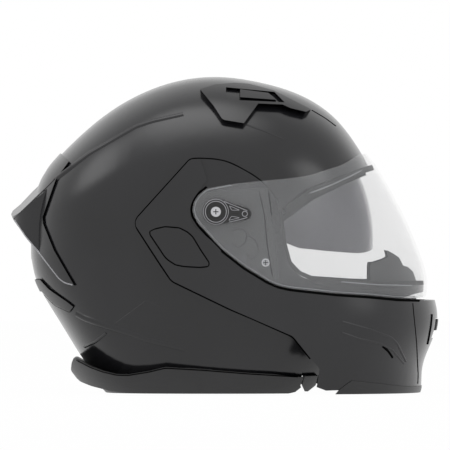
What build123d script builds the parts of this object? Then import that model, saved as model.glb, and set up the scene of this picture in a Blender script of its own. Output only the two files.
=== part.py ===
from build123d import *
import functools
import math
import os

# Frame: X forward, Y to the wearer's left, Z up, origin under the middle of the helmet.
# Side outlines are points of the side view in photograph pixels, turned to millimetres by unit.

# Overall sizes
helmet_length = 355.0
helmet_length_px = 427.6
origin_px = (225.1, 392.0)
shell_width = 237.0
overrun = 20.0
running_gap = 0.4
seat_gap = 0.3
press_gap = 0.02
hub_running_gap = 0.06
unit = helmet_length / helmet_length_px

# Shell form: x, top, widest and bottom height of each section
form_centre_px = (218.5, 212.0)
form_ends_px = (31.0, 378.5)
form_crown_px = 77.0
form_foot_px = 428.0
plan_power = 2.6
section_power = 2.6
section_steps = 24
form_stations_px = [
    (31.4, 236.0, 248.0, 259.0),
    (34.0, 212.0, 246.0, 271.0),
    (39.5, 188.0, 243.0, 287.0),
    (48.5, 170.0, 238.0, 303.0),
    (61.5, 154.5, 232.0, 324.0),
    (82.0, 134.5, 225.0, 357.0),
    (112.0, 110.5, 218.0, 394.0),
    (158.0, 87.0, 213.0, 420.0),
    (214.0, 77.0, 212.0, 428.0),
    (262.0, 83.0, 212.0, 424.0),
    (302.0, 96.0, 213.0, 408.0),
    (334.0, 117.5, 215.0, 380.0),
    (354.0, 142.0, 217.0, 345.0),
    (367.0, 164.0, 219.0, 310.0),
    (374.5, 184.0, 219.0, 275.0),
    (378.0, 204.0, 219.0, 238.0),
]

# Walls of the shell and what lines it
shell_wall = 4.0
liner_gap = 0.4
liner_wall = 29.0
pad_wall = 9.0
soft_gap = 0.5

# Pivots
pivot_px = (216.0, 212.0)
seat_plane = 119.1
arm_inner_plane = 119.5
arm_outer_plane = 127.0
pocket_plane = 122.6
base_plate_wall = 1.1
visor_inner_plane = 124.0
visor_wall = 2.6
cap_wall = 1.2

# Hub and caps of the visor
hub_radius = 7.3
hub_top_plane = 127.5
hub_screw_radius = 4.1
hub_screw_head = 1.2
cap_radius_px = 12.5
cap_tip_px = (245.0, 214.0)
cap_tip_radius_px = 5.6
rivets_px = [
    (218.3, 234.3, 3.5), (228.6, 247.0, 4.0), (242.8, 257.6, 4.0), (255.0, 269.0, 3.0),
    (265.0, 262.0, 5.0),
]
rivet_wall = 1.6

# Front forms of the chin bar and the visor: height, front and width share
plan_shoulder_px = 262.0
plan_back_px = 90.0
front_power = 2.3
front_steps = 12
side_count = 5
chin_wall = arm_outer_plane - arm_inner_plane
chin_rows_px_shares = (
    (400.0, 412.5, 0.93),
    (375.0, 421.5, 0.96),
    (350.0, 427.8, 0.985),
    (325.0, 436.6, 1.0),
    (300.0, 434.8, 1.0),
    (275.0, 427.0, 1.0),
    (250.0, 418.0, 1.0),
    (225.0, 409.0, 1.0),
    (200.0, 398.0, 1.0),
    (175.0, 384.0, 1.0),
    (150.0, 368.0, 1.0),
)
visor_rows_px_shares = (
    (305.0, 426.6, 1.0),
    (285.0, 427.3, 1.0),
    (265.0, 424.0, 1.0),
    (245.0, 416.8, 1.0),
    (225.0, 408.4, 1.0),
    (205.0, 398.6, 1.0),
    (185.0, 387.8, 1.0),
    (165.0, 376.0, 1.0),
    (145.0, 363.4, 1.0),
)


def side_point(point_px):
    """Place of a photograph point in the side view."""
    return (point_px[0] - origin_px[0]) * unit, (origin_px[1] - point_px[1]) * unit


def side_vector(point_px, y=0.0):
    """Place of a photograph point at a given distance from the middle plane."""
    x, z = side_point(point_px)
    return Vector(x, y, z)


def side_face(*runs_px, y=0.0):
    """Face of the side view: a run joined with "smooth" is a curve, any other is straight lines."""
    edges = []
    start = None
    last = None
    for kind, points_px in runs_px:
        places = [side_vector(point, y) for point in points_px]
        if last is not None:
            places.insert(0, last)
        start = start or places[0]
        last = places[-1]
        edges.append(Spline(*places) if kind == "smooth" else Polyline(*places))
    if (last - start).length > 0:
        edges.append(Line(last, start))
    return make_face(edges)


def side_block(*runs_px, inner=0.0, outer=0.0):
    """Side outline extruded along Y between two planes."""
    return extrude(side_face(*runs_px, y=inner), amount=outer - inner, dir=(0, 1, 0))


def side_cutter(*runs_px):
    """Side outline extruded through the whole helmet."""
    reach = shell_width / 2 + overrun
    return side_block(*runs_px, inner=-reach, outer=reach)


def side_disc(centre_px, radius, inner, outer):
    """Round block along Y at a photograph point."""
    plane = Plane(origin=side_vector(centre_px, inner), z_dir=(0, 1, 0))
    return extrude(plane * Circle(radius), amount=outer - inner, dir=(0, 1, 0))


def mirrored(solid):
    """The same piece on the other side of the middle plane."""
    return mirror(solid, about=Plane.XZ)


def signed_power(value, power):
    return math.copysign(abs(value) ** power, value)


def oval_section(x, half_width, top, middle, bottom):
    """Closed rounded section of the shell in a plane across X."""
    points = []
    for step in range(section_steps):
        angle = 2 * math.pi * (step + 0.5) / section_steps
        across = signed_power(math.cos(angle), 2 / section_power)
        rise = signed_power(math.sin(angle), 2 / section_power)
        reach = top - middle if rise > 0 else middle - bottom
        points.append((x, half_width * across, middle + reach * rise))
    steps = [index / section_steps for index in range(section_steps + 1)]
    return make_face(Edge.make_spline(points, periodic=True, parameters=steps))


@functools.lru_cache(maxsize=None)
def helmet_form(inset):
    """Closed egg of the shell, moved inwards by inset."""
    centre_x, centre_z = side_point(form_centre_px)
    rear_x = side_point((form_ends_px[0], 0.0))[0]
    front_x = side_point((form_ends_px[1], 0.0))[0]
    crown = side_point((0.0, form_crown_px))[1] - centre_z
    foot = centre_z - side_point((0.0, form_foot_px))[1]
    width_scale = 1 - inset / (shell_width / 2)
    sections = []
    for x_px, top_px, middle_px, bottom_px in form_stations_px:
        x, top = side_point((x_px, top_px))
        middle = side_point((x_px, middle_px))[1]
        bottom = side_point((x_px, bottom_px))[1]
        reach = centre_x - rear_x if x < centre_x else front_x - centre_x
        share = min(abs(x - centre_x) / reach, 1.0)
        half_width = shell_width / 2 * (1 - share ** plan_power) ** (1 / plan_power)
        sections.append(oval_section(
            centre_x + (x - centre_x) * (1 - inset / reach),
            half_width * width_scale,
            centre_z + (top - centre_z) * (1 - inset / crown),
            centre_z + (middle - centre_z) * (1 - inset / crown),
            centre_z + (bottom - centre_z) * (1 - inset / foot),
        ))
    return loft(sections)


def round_front():
    """Points of a rounded front of unit reach and unit half width, as forward and across."""
    points = []
    for step in range(-front_steps + 1, front_steps):
        angle = math.pi / 2 * step / front_steps
        power = 2 / front_power
        points.append((math.cos(angle) ** power, signed_power(math.sin(angle), power)))
    return points


def chord_steps(points):
    """Length along a row of points at each point, as a share of the whole."""
    lengths = [0.0]
    for before, after in zip(points, points[1:]):
        lengths.append(lengths[-1] + math.dist(before, after))
    return [length / lengths[-1] for length in lengths]


def plan_section(z, front_x, half_width):
    """Level section with flat sides and a rounded front."""
    shoulder_x = side_point((plan_shoulder_px, 0.0))[0]
    back_x = side_point((plan_back_px, 0.0))[0]
    side_steps = [share / side_count for share in range(side_count, -1, -1)]
    right = [(-share, -1.0) for share in side_steps]
    left = [(-share, 1.0) for share in reversed(side_steps)]
    unit_points = right + round_front() + left
    points = []
    for forward, across in unit_points:
        reach = front_x - shoulder_x if forward > 0 else shoulder_x - back_x
        points.append((shoulder_x + reach * forward, half_width * across, z))
    wall = Edge.make_spline(points, parameters=chord_steps(unit_points))
    return make_face([wall, Line(points[-1], points[0])])


@functools.lru_cache(maxsize=None)
def plan_form(rows_px_shares, half_width, front_inset):
    """Front form lofted upwards through its level sections."""
    sections = []
    for y_px, front_px, width_share in rows_px_shares:
        front_x, z = side_point((front_px, y_px))
        sections.append(plan_section(z, front_x - front_inset, half_width * width_share))
    return loft(sections)


def shell_band(region, outer_inset, inner_inset):
    """Part of a region between two walls that follow the shell."""
    return (region & helmet_form(outer_inset)) - helmet_form(inner_inset)


def front_band(region, rows_px_shares, half_width, outer_inset, inner_inset):
    """Part of a region between two walls that follow the chin bar or the visor."""
    outer = plan_form(rows_px_shares, half_width - outer_inset, outer_inset)
    inner = plan_form(rows_px_shares, half_width - inner_inset, inner_inset)
    return (region & outer) - inner


# Outlines of the chin bar
arm_rear_run_px = [
    (137.0, 221.4), (139.0, 217.6), (186.8, 164.7), (189.3, 161.8), (192.5, 160.2), (200.0, 159.9),
]
arm_top_run_px = [
    (213.0, 160.5), (225.0, 162.6), (237.0, 167.6), (252.0, 176.0), (269.5, 191.0), (276.5, 202.0),
    (280.0, 216.0),
]
port_rear_run_px = [(282.5, 242.5), (288.0, 263.0), (297.5, 274.0), (311.0, 280.4)]
port_lower_run_px = [(352.0, 283.0), (460.0, 285.5)]
chin_floor_run_px = [
    (460.0, 386.0), (403.0, 384.8), (375.0, 381.2), (350.5, 378.4), (345.5, 381.4), (337.2, 388.0),
    (324.6, 388.3), (315.4, 384.8),
]
chin_rear_run_px = [
    (318.2, 367.6), (317.0, 365.0), (310.6, 358.0), (293.4, 336.4), (290.8, 334.1), (230.0, 307.6),
    (174.6, 280.8), (171.5, 278.2), (162.0, 264.0), (151.7, 248.3), (137.3, 226.0),
]


def chin_bar_block():
    """Everything inside the side outline of the chin bar."""
    return side_cutter(
        ("straight", arm_rear_run_px), ("smooth", arm_top_run_px), ("smooth", port_rear_run_px),
        ("straight", port_lower_run_px), ("straight", chin_floor_run_px), ("straight", chin_rear_run_px),
    )


visor_tail_radii_px = (32.0, 29.3, 26.7, 25.8, 25.4, 25.4, 25.4, 25.4, 25.4, 25.4, 25.4, 25.4)
visor_tail_start = 105
visor_tail_step = 10
pocket_top_px = [(460.0, 100.0), (199.0, 100.0), (200.0, 158.0)]
visor_lip_px = [
    (290.0, 288.9), (335.0, 293.8), (368.0, 296.2), (396.0, 299.0), (460.0, 300.5), (460.0, 150.0),
    (290.0, 150.0),
]
pocket_low_px = [
    (212.0, 240.8), (221.2, 250.3), (243.0, 267.4), (266.6, 281.7), (277.7, 286.5), (290.0, 289.0),
    (335.0, 293.8), (368.0, 296.2), (396.0, 299.0), (460.0, 302.0),
]


def visor_pocket():
    """Space at the side of the chin bar in which the visor lies and turns."""
    tail = []
    for index, radius_px in enumerate(visor_tail_radii_px):
        angle = math.radians(visor_tail_start + index * visor_tail_step)
        tail.append((
            pivot_px[0] + radius_px * math.cos(angle), pivot_px[1] - radius_px * math.sin(angle)))
    runs = (("straight", pocket_top_px + tail[:1]), ("smooth", tail[1:]), ("straight", pocket_low_px))
    left = side_block(*runs, inner=pocket_plane, outer=arm_outer_plane + overrun)
    return left + mirrored(left)


def chin_bar():
    """Swinging front of the helmet: two flat arms and the chin."""
    return chin_band(chin_bar_block() - visor_pocket(), 0.0, chin_wall)


visor_rear_run_px = [
    (208.0, 189.0), (200.0, 194.6), (194.6, 202.3), (193.1, 209.3), (194.6, 216.3), (199.5, 224.6),
]
visor_low_run_px = [
    (213.0, 239.3), (222.0, 249.0), (243.6, 266.0), (267.0, 280.3), (278.0, 285.0), (290.0, 287.5),
    (335.0, 292.4), (368.0, 294.7), (396.0, 297.5), (417.0, 298.2), (424.0, 297.0), (440.0, 290.0),
]
visor_front_run_px = [(440.0, 170.0), (376.0, 164.5)]
visor_top_run_px = [
    (369.0, 157.6), (364.1, 153.9), (360.0, 154.4), (345.3, 163.0), (326.4, 170.2), (309.0, 175.7),
    (286.8, 179.2), (260.0, 181.7), (231.7, 184.8), (208.0, 189.0),
]


def visor():
    """Clear shield: a band with flat sides and a rounded front."""
    outer = plan_form(visor_rows_px_shares, visor_inner_plane + visor_wall, 0.0)
    body = outer & side_cutter(
        ("smooth", visor_rear_run_px), ("smooth", visor_low_run_px),
        ("straight", visor_front_run_px), ("smooth", visor_top_run_px),
    )
    body -= plan_form(visor_rows_px_shares, visor_inner_plane, visor_wall)
    bore = side_disc(pivot_px, hub_radius + hub_running_gap, 0.0, seat_plane + overrun)
    return body - bore - mirrored(bore)


# Lower edge of the shell and the eye port, seen from the side
seam_run_px = [
    (20.0, 355.5), (76.6, 357.0), (92.0, 364.6), (104.6, 369.0), (117.4, 372.0), (129.0, 372.3),
    (149.0, 369.0), (166.0, 364.8), (203.5, 367.0), (246.5, 370.5), (272.0, 372.0), (303.6, 374.3),
]
shell_jaw_run_px = [
    (318.0, 374.3), (322.0, 360.0), (318.0, 335.0), (306.0, 300.0), (290.0, 270.0), (282.0, 243.0),
    (279.0, 216.0), (285.0, 213.0),
]
brow_run_px = [(310.0, 194.0), (345.0, 178.0), (362.0, 170.5), (395.0, 160.0)]
shell_over_px = [(460.0, 150.0), (460.0, 40.0), (10.0, 40.0), (10.0, 355.0)]


def both_sides(solid):
    """A piece and its mirror image in one group."""
    return Compound(children=[*solid.solids(), *mirrored(solid).solids()])


def shell_region():
    """What the side view leaves of the closed shell."""
    return side_cutter(
        ("straight", seam_run_px), ("straight", shell_jaw_run_px), ("straight", brow_run_px),
        ("straight", shell_over_px),
    )


# Hinge on each side of the shell
seat_depth = 15.0
plate_radius = 21.0
plate_depth = 2.0
pin_radius = 5.0
pin_head_radius = 8.0
pin_head_wall = 1.2
pin_nut_wall = 2.0
shell_inner_plane = shell_width / 2 - shell_wall
plate_screw_radius = 2.5
plate_screw_ring_share = 0.72
plate_screw_count = 3

def seat_blocks():
    """Flat seats that fill the shell out to the arms of the chin bar."""
    seat = side_block(
        ("straight", [
            (141.0, 222.5), (189.0, 166.0), (222.0, 166.0), (250.0, 180.0), (266.0, 193.0),
            (271.0, 210.0), (272.0, 243.0), (273.0, 266.0), (275.0, 285.0), (268.0, 302.0),
            (230.0, 298.0), (176.0, 276.0), (155.0, 248.0),
        ]),
        inner=seat_plane - seat_depth, outer=seat_plane,
    )
    return seat + mirrored(seat)


def plate_screw_places(inner, outer, radius):
    """Screws round the hinge plate of the left side."""
    places = []
    for index in range(plate_screw_count):
        angle = 2 * math.pi * index / plate_screw_count + math.pi / plate_screw_count
        reach_px = plate_radius * plate_screw_ring_share / unit
        centre = (pivot_px[0] + reach_px * math.cos(angle), pivot_px[1] + reach_px * math.sin(angle))
        places.append(side_disc(centre, radius, inner, outer))
    return places


def outer_shell():
    """Shell wall with its seats, cut at the eye port and at the neck."""
    body = helmet_form(0.0) + seat_blocks()
    body -= helmet_form(shell_wall)
    body &= shell_region()
    pocket = side_disc(pivot_px, plate_radius + press_gap, seat_plane - plate_depth, seat_plane + overrun)
    pocket += side_disc(pivot_px, pin_radius + press_gap, shell_inner_plane - overrun, seat_plane)
    for bore in plate_screw_places(shell_inner_plane - overrun, seat_plane, plate_screw_radius + press_gap):
        pocket += bore
    pocket += striker_stem(press_gap)
    pocket += side_disc(
        striker_px, striker_radius + press_gap, striker_inner_plane, striker_outer_plane + press_gap)
    return body - pocket - mirrored(pocket)


def hinge_plate():
    """Round steel plate let into the seat of the shell."""
    plate = side_disc(pivot_px, plate_radius, seat_plane - plate_depth, seat_plane)
    plate -= side_disc(pivot_px, pin_radius + press_gap, seat_plane - overrun, seat_plane + overrun)
    bore_radius = plate_screw_radius + press_gap
    for bore in plate_screw_places(seat_plane - overrun, seat_plane + overrun, bore_radius):
        plate -= bore
    return plate


def hinge_plate_screws():
    return both_sides(Compound(children=plate_screw_places(
        shell_inner_plane - pin_nut_wall / 2, seat_plane, plate_screw_radius)))


pin_head_plane = pocket_plane - press_gap


def pivot_pins():
    """Flanged pins that carry the chin bar, with their nuts inside the shell."""
    pin = side_disc(pivot_px, pin_radius, shell_inner_plane - pin_nut_wall, pin_head_plane)
    pin += side_disc(pivot_px, pin_head_radius, pin_head_plane - pin_head_wall, pin_head_plane)
    pin += side_disc(
        pivot_px, pin_head_radius,
        shell_inner_plane - pin_nut_wall - seat_gap, shell_inner_plane - seat_gap)
    return both_sides(pin)


# Liner and pads
sun_axis_px = (214.0, 240.0)
sun_radius = 132.0
sun_wall = 2.2
sun_half_width = 96.0
sun_arm_wall = 2.0
sun_gap = 3.0
sun_arm_pocket_px = [
    (214.0, 252.5), (242.0, 250.5), (242.0, 232.0), (232.0, 210.0), (206.0, 210.0), (203.0, 240.0),
]
sun_slot_low = -18
sun_slot_high = 84
port_inner_run_px = [
    (317.0, 372.8), (319.0, 360.0), (314.0, 335.0), (303.0, 300.0), (290.0, 272.0), (284.0, 243.0),
    (282.0, 222.0), (312.0, 200.0), (345.0, 184.0), (364.0, 176.0), (395.0, 166.0),
]
liner_over_px = [(460.0, 150.0), (460.0, 40.0), (10.0, 40.0), (10.0, 354.0), (76.6, 355.5)]
liner_floor_px = [(104.6, 367.0), (129.0, 370.0), (166.0, 363.0), (246.5, 369.0), (303.6, 372.8)]
neck_centre_px = 214.0
neck_reach = 104.0
neck_half_width = 72.0
neck_height = 62.0
neck_fill = 12.0
roll_wall = 20.0


def sun_profile(inset):
    """Half outline of the sun visor, to be turned about its axis."""
    points = []
    for step in range(-front_steps, front_steps + 1):
        angle = math.pi / 2 * step / front_steps
        across = signed_power(math.sin(angle), 2 / front_power)
        forward = abs(math.cos(angle)) ** (2 / front_power)
        points.append(((sun_half_width - inset) * across, (sun_radius - inset) * forward))
    return points


def sun_band(outer_inset, inner_inset):
    """Ring turned about the sun visor's axis between two like profiles."""
    centre = side_vector(sun_axis_px)
    axis = Axis(centre, (0, 1, 0))
    outer = [centre + Vector(r, y, 0) for y, r in sun_profile(outer_inset)]
    inner = [centre + Vector(r, y, 0) for y, r in sun_profile(inner_inset)]
    face = make_face([
        Spline(*outer), Line(outer[-1], inner[-1]), Spline(*inner), Line(inner[0], outer[0]),
    ])
    return revolve(face, axis=axis)


def sun_sector(low_degrees, high_degrees):
    """Wedge of the side view round the sun visor's axis."""
    reach = helmet_length / unit
    rays = []
    for degrees in range(int(low_degrees), int(high_degrees) + 1, 6):
        angle = math.radians(degrees)
        rays.append((sun_axis_px[0] + reach * math.cos(angle), sun_axis_px[1] - reach * math.sin(angle)))
    return side_cutter(("straight", [sun_axis_px] + rays))


def neck_well(inset, height):
    """Upright oval well that opens the liner for the neck."""
    base = Plane(origin=side_vector((neck_centre_px, origin_px[1])))
    oval = Ellipse(neck_reach - inset, neck_half_width - inset)
    return extrude(base * oval, amount=height)


def eps_liner():
    """Foam liner between the shell and the pads, with the sun visor's slot."""
    region = side_cutter(
        ("straight", port_inner_run_px), ("straight", liner_over_px), ("straight", liner_floor_px))
    body = shell_band(region, shell_wall + liner_gap, shell_wall + liner_gap + liner_wall)
    body -= neck_well(0.0, neck_height)
    body -= sun_band(-2 * sun_gap, sun_gap + sun_wall) & sun_sector(sun_slot_low, sun_slot_high)
    nut_space = side_disc(pivot_px, plate_radius, shell_inner_plane - 2 * pin_nut_wall, seat_plane)
    nut_space += side_disc(
        sun_axis_px, sun_hub_radius + 2 * running_gap, sun_half_width - 2 * sun_gap,
        sun_half_width + running_gap + sun_bracket_wall + press_gap)
    nut_space += side_disc(strap_rivet_place(), strap_rivet_radius + press_gap, 0.0, strap_rivet_outer)
    nut_space += side_block(
        ("straight", sun_arm_pocket_px), inner=sun_half_width - 2 * sun_gap,
        outer=sun_half_width + running_gap)
    nut_space += striker_stem(press_gap)
    nut_space += side_disc(
        striker_px, striker_radius + seat_gap, striker_inner_plane - seat_gap, striker_outer_plane)
    body -= nut_space
    return body - mirrored(nut_space)


pad_outer = shell_wall + liner_gap + liner_wall + soft_gap


def crown_pad():
    region = side_cutter(("straight", [
        (70.0, 215.0), (200.0, 190.0), (270.0, 178.0), (330.0, 168.0), (330.0, 60.0), (50.0, 60.0),
    ]))
    return shell_band(region, pad_outer, pad_outer + pad_wall)


cheek_inner_plane = 50.0
cheek_outer_plane = 100.0


def cheek_pad():
    """Thick pad beside the jaw, shaped by the liner on its outer side."""
    pad = side_block(
        ("smooth", [(222.0, 262.0), (240.0, 252.0), (270.0, 256.0), (283.0, 276.0)]),
        ("smooth", [(298.0, 306.0), (309.0, 340.0), (311.0, 360.0)]),
        ("straight", [(304.0, 378.0), (232.0, 376.0)]),
        inner=cheek_inner_plane, outer=cheek_outer_plane,
    )
    return pad & helmet_form(pad_outer)


def neck_roll():
    """Soft roll round the back of the neck, filling the liner's opening."""
    region = side_cutter(("straight", [(10.0, 330.0), (178.0, 338.0), (178.0, 386.0), (10.0, 386.0)]))
    roll = region & helmet_form(pad_outer - neck_fill) & neck_well(soft_gap, neck_height)
    return roll - neck_well(roll_wall, 2 * neck_height)


trim_outset = 2.4
trim_depth = 9.0
trim_seam_gap_px = 0.5
jaw_inner_plane = 62.0
collar_shift = 14.0
collar_run_px = [
    (200.0, 350.0), (76.4, 350.0), (75.6, 355.0), (72.6, 362.0), (71.5, 369.0), (72.8, 375.0),
    (81.0, 381.0), (92.0, 385.0), (111.0, 389.5), (130.0, 391.3), (200.0, 391.8),
]
trim_front_px = [
    (303.0, 376.0), (299.7, 384.0), (300.4, 386.0), (294.6, 390.6), (288.0, 392.0), (20.0, 392.0),
]


def edge_trim():
    """Soft collar round the neck, flat where it stands."""
    seam = [(x, y + trim_seam_gap_px) for x, y in seam_run_px[:-1]]
    region = side_cutter(("straight", seam), ("straight", trim_front_px))
    roll = Pos(-collar_shift, 0, 0) * helmet_form(-trim_outset)
    roll &= region & side_cutter(("straight", collar_run_px))
    return shell_band(region, -trim_outset, trim_depth) + (roll - helmet_form(0.0))


def jaw_trims():
    """Short end pieces of the shell's edge, under the chin bar."""
    region = side_cutter(("straight", [
        (304.0, 374.9), (317.0, 374.7), (314.8, 385.0), (322.5, 388.9), (320.0, 391.0), (304.0, 390.0),
        (301.4, 384.0),
    ]))
    region -= Box(helmet_length, 2 * jaw_inner_plane, helmet_length)
    return shell_band(region, -trim_outset, trim_depth)


# Spoiler and vents
spoiler_low_px = 300.0
spoiler_high_px = 140.0
spoiler_ridge_px = [(33.0, 191.0), (12.0, 210.6)]
spoiler_half_width = 60.0
spoiler_plan_px_shares = [
    (76.0, 1.0), (50.0, 0.97), (32.0, 0.9), (18.5, 0.74), (12.6, 0.42), (11.3, 0.0),
]
spoiler_skin = 1.2
spoiler_roof_px = [(57.3, 179.0), (14.6, 220.0)]
spoiler_roof_half = 50.0
spoiler_run_px = [
    (57.0, 150.0), (46.0, 172.0), (33.0, 191.0), (21.0, 204.0), (13.0, 210.6), (11.3, 214.4),
    (14.6, 220.2), (27.0, 237.0), (38.0, 250.0), (60.6, 278.7), (66.0, 283.0), (75.9, 285.1),
    (55.4, 250.0), (44.5, 224.0), (44.0, 217.0), (57.0, 180.0), (70.0, 162.0),
]


def spoiler_plan(z_low, z_high):
    """Rounded tail of the spoiler seen from above."""
    left = []
    for x_px, share in spoiler_plan_px_shares:
        left.append((side_point((x_px, 0.0))[0], share * spoiler_half_width, z_low))
    right = [(x, -y, z) for x, y, z in reversed(left[:-1])]
    front = left[0]
    run = Spline(*left, *right)
    face = make_face([run, Line((front[0], -front[1], z_low), front)])
    return extrude(face, amount=z_high - z_low, dir=(0, 0, 1))


def rear_spoiler():
    """Tail wing that wraps round the back of the shell."""
    low = side_point((0.0, spoiler_low_px))[1]
    high = side_point((0.0, spoiler_high_px))[1]
    region = side_cutter(("straight", spoiler_run_px))
    body = spoiler_plan(low, high) & region
    ridge_front = side_vector(spoiler_ridge_px[0])
    ridge_back = side_vector(spoiler_ridge_px[1])
    for side in (-1, 1):
        edge = side_vector(spoiler_roof_px[0], side * spoiler_roof_half)
        along = ridge_front - ridge_back
        across = edge - ridge_front
        normal = along.cross(across)
        if normal.Z < 0:
            normal = normal * -1
        roof = Plane(origin=ridge_front, x_dir=along, z_dir=normal)
        reach = 4 * helmet_length
        block = roof * Pos(0, 0, reach / 2) * Box(reach, reach, reach)
        half = Pos(0, side * reach / 2, 0) * Box(reach, reach, reach)
        body -= block & half
    body += region & helmet_form(-seat_gap - spoiler_skin)
    return body - helmet_form(-seat_gap)


grille_wall = 1.0


def rear_vent():
    """Band below the spoiler where the air leaves the shell."""
    region = side_cutter(("straight", [
        (20.0, 279.0), (41.0, 279.5), (50.0, 289.0), (68.0, 301.0), (74.6, 306.0), (70.8, 311.0),
        (55.5, 304.0), (42.8, 291.5), (20.0, 290.0),
    ]))
    return shell_band(region, -grille_wall - seat_gap, -seat_gap)


vent_height = 4.2
vent_inner_plane = 20.0
vent_run_px = [
    (200.3, 90.5), (215.0, 85.6), (234.6, 83.8), (248.0, 84.7), (258.8, 87.4), (273.0, 91.4),
    (282.0, 95.9), (310.5, 110.4), (305.2, 112.9), (290.0, 109.3), (282.0, 105.7), (257.9, 104.8),
    (243.6, 124.5), (224.4, 121.3), (222.0, 120.0), (214.0, 107.5),
]
vent_slider_run_px = [(240.0, 90.5), (268.0, 94.0), (276.0, 101.0), (240.0, 98.5)]
vent_slider_height = 2.4
vent_slot_run_px = [(226.0, 88.5), (274.0, 93.0), (284.0, 103.5), (226.0, 101.0)]
vent_floor_height = 2.0


def top_vent():
    """Raised intake on the left of the crown, with a channel for its slider."""
    region = side_block(("straight", vent_run_px), inner=vent_inner_plane, outer=seat_plane)
    body = shell_band(region, -seat_gap - vent_height, -seat_gap)
    channel = side_block(("straight", vent_slot_run_px), inner=vent_inner_plane, outer=seat_plane)
    return body - (channel - helmet_form(-seat_gap - vent_floor_height))


def top_vent_slider():
    """Thumb slider that lies in the channel of the intake."""
    low = seat_gap + vent_floor_height + running_gap
    region = side_block(("straight", vent_slider_run_px), inner=vent_inner_plane, outer=seat_plane)
    return shell_band(region, -low - vent_slider_height, -low)


# Sun visor and what drives it
sun_hub_radius = 9.0
sun_pin_radius = 3.0
sun_bracket_wall = 5.0


def sun_visor():
    """Tinted inner shield: a turned bowl wall cut down to a screen with two arms."""
    region = side_cutter(
        ("straight", [(214.0, 229.0), (284.0, 196.0), (300.0, 178.0), (345.0, 164.0), (420.0, 150.0)]),
        ("straight", [(420.0, 249.0), (372.6, 249.0)]),
        ("smooth", [(366.0, 251.9), (345.0, 252.3), (326.0, 250.8), (298.8, 248.0)]),
        ("straight", [(286.0, 243.0), (214.0, 251.0)]),
    )
    body = sun_band(0.0, sun_wall) & region
    hub = side_disc(sun_axis_px, sun_hub_radius, sun_half_width - sun_wall, sun_half_width)
    body += hub
    body += mirrored(hub)
    bore = side_disc(sun_axis_px, sun_pin_radius + hub_running_gap, 0.0, seat_plane)
    return body - bore - mirrored(bore)


def sun_bracket():
    """Bracket let into the liner that carries one end of the sun visor."""
    inner = sun_half_width + running_gap
    plate = side_disc(sun_axis_px, sun_hub_radius, inner, inner + sun_bracket_wall)
    plate += side_disc(sun_axis_px, sun_pin_radius, inner - 2 * sun_arm_wall, inner)
    return plate


lever_run_px = [(236.0, 369.0), (250.0, 370.3), (250.0, 364.3), (236.0, 363.0)]
lever_inner_plane = 98.05
lever_outer_plane = 104.3


def chin_band(region, outer_inset, inner_inset):
    """Part of a region in a curved wall that follows the chin bar's outer surface."""
    return front_band(region, chin_rows_px_shares, arm_outer_plane, outer_inset, inner_inset)


chin_sweep_radius_px = 163.0
chin_foam_wall = 20.0
chin_skin_gap = 0.4
chin_foam_inset = chin_wall + chin_skin_gap


def chin_eps():
    """Foam block behind the chin, clear of the shell when it swings."""
    region = side_cutter(("straight", [
        (338.0, 303.0), (352.0, 300.0), (460.0, 302.0), (460.0, 370.0), (348.0, 370.0), (343.0, 335.0),
    ]))
    body = chin_band(region, chin_foam_inset, chin_foam_inset + chin_foam_wall)
    reach = shell_width + 2 * overrun
    sweep = side_disc(pivot_px, chin_sweep_radius_px * unit, -reach / 2, reach / 2)
    return body - sweep - breath_deflector()


lower_trim_top_px = [
    (337.4, 388.0), (345.7, 381.6), (350.5, 378.6), (375.0, 381.4), (403.0, 385.0), (460.0, 386.2),
]
lower_trim_wall = 12.0
lower_trim_proud = 0.6


def chin_lower_trim():
    """Rim under the chin bar, flat where it stands."""
    region = side_cutter(
        ("straight", lower_trim_top_px), ("straight", [(460.0, 392.0), (334.0, 392.0)]))
    return chin_band(region, -lower_trim_proud, lower_trim_wall)


mouth_line_px = [(411.0, 302.0), (412.4, 317.5), (415.0, 342.0), (417.5, 374.4), (416.8, 384.0)]
mouth_far_px = [(460.0, 384.0), (460.0, 302.0)]
mouth_wall = 2.4
mouth_slot_half = 28.0
mouth_slot_px = (318.0, 338.0)
mouth_slider_px = (319.0, 330.0)
mouth_slider_half = 24.0
mouth_slider_wall = 1.6


def mouth_block(half_width, span_px):
    """Box in front of the mouth between two heights of the side view."""
    outline = [(400.0, span_px[0]), (460.0, span_px[0]), (460.0, span_px[1]), (400.0, span_px[1])]
    return side_block(("straight", outline), inner=-half_width, outer=half_width)


def mouth_panel():
    """Front panel of the chin with its air slot."""
    region = side_cutter(("straight", mouth_line_px), ("straight", mouth_far_px))
    region -= mouth_block(mouth_slot_half, mouth_slot_px)
    return chin_band(region, 0.0, mouth_wall)


def mouth_slider():
    """Shutter of the air slot."""
    region = mouth_block(mouth_slider_half, mouth_slider_px)
    return chin_band(region, -mouth_slider_wall / 2, mouth_slider_wall)


deflector_wall = 2.2
deflector_inset = 10.6


def breath_deflector():
    """Thin nose guard that stands on the inner edge of the chin bar."""
    region = side_cutter(("straight", [
        (368.4, 304.0), (368.4, 267.0), (369.0, 262.4), (373.7, 262.0), (382.0, 259.3), (386.7, 256.8),
        (385.2, 249.8), (391.9, 253.3), (398.2, 257.5), (402.0, 265.3), (407.0, 266.7), (412.3, 271.2),
        (422.8, 276.0), (430.0, 277.0), (430.0, 288.0), (400.0, 288.0), (395.0, 304.0),
    ]))
    return chin_band(region, deflector_inset, deflector_inset + deflector_wall)


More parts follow.
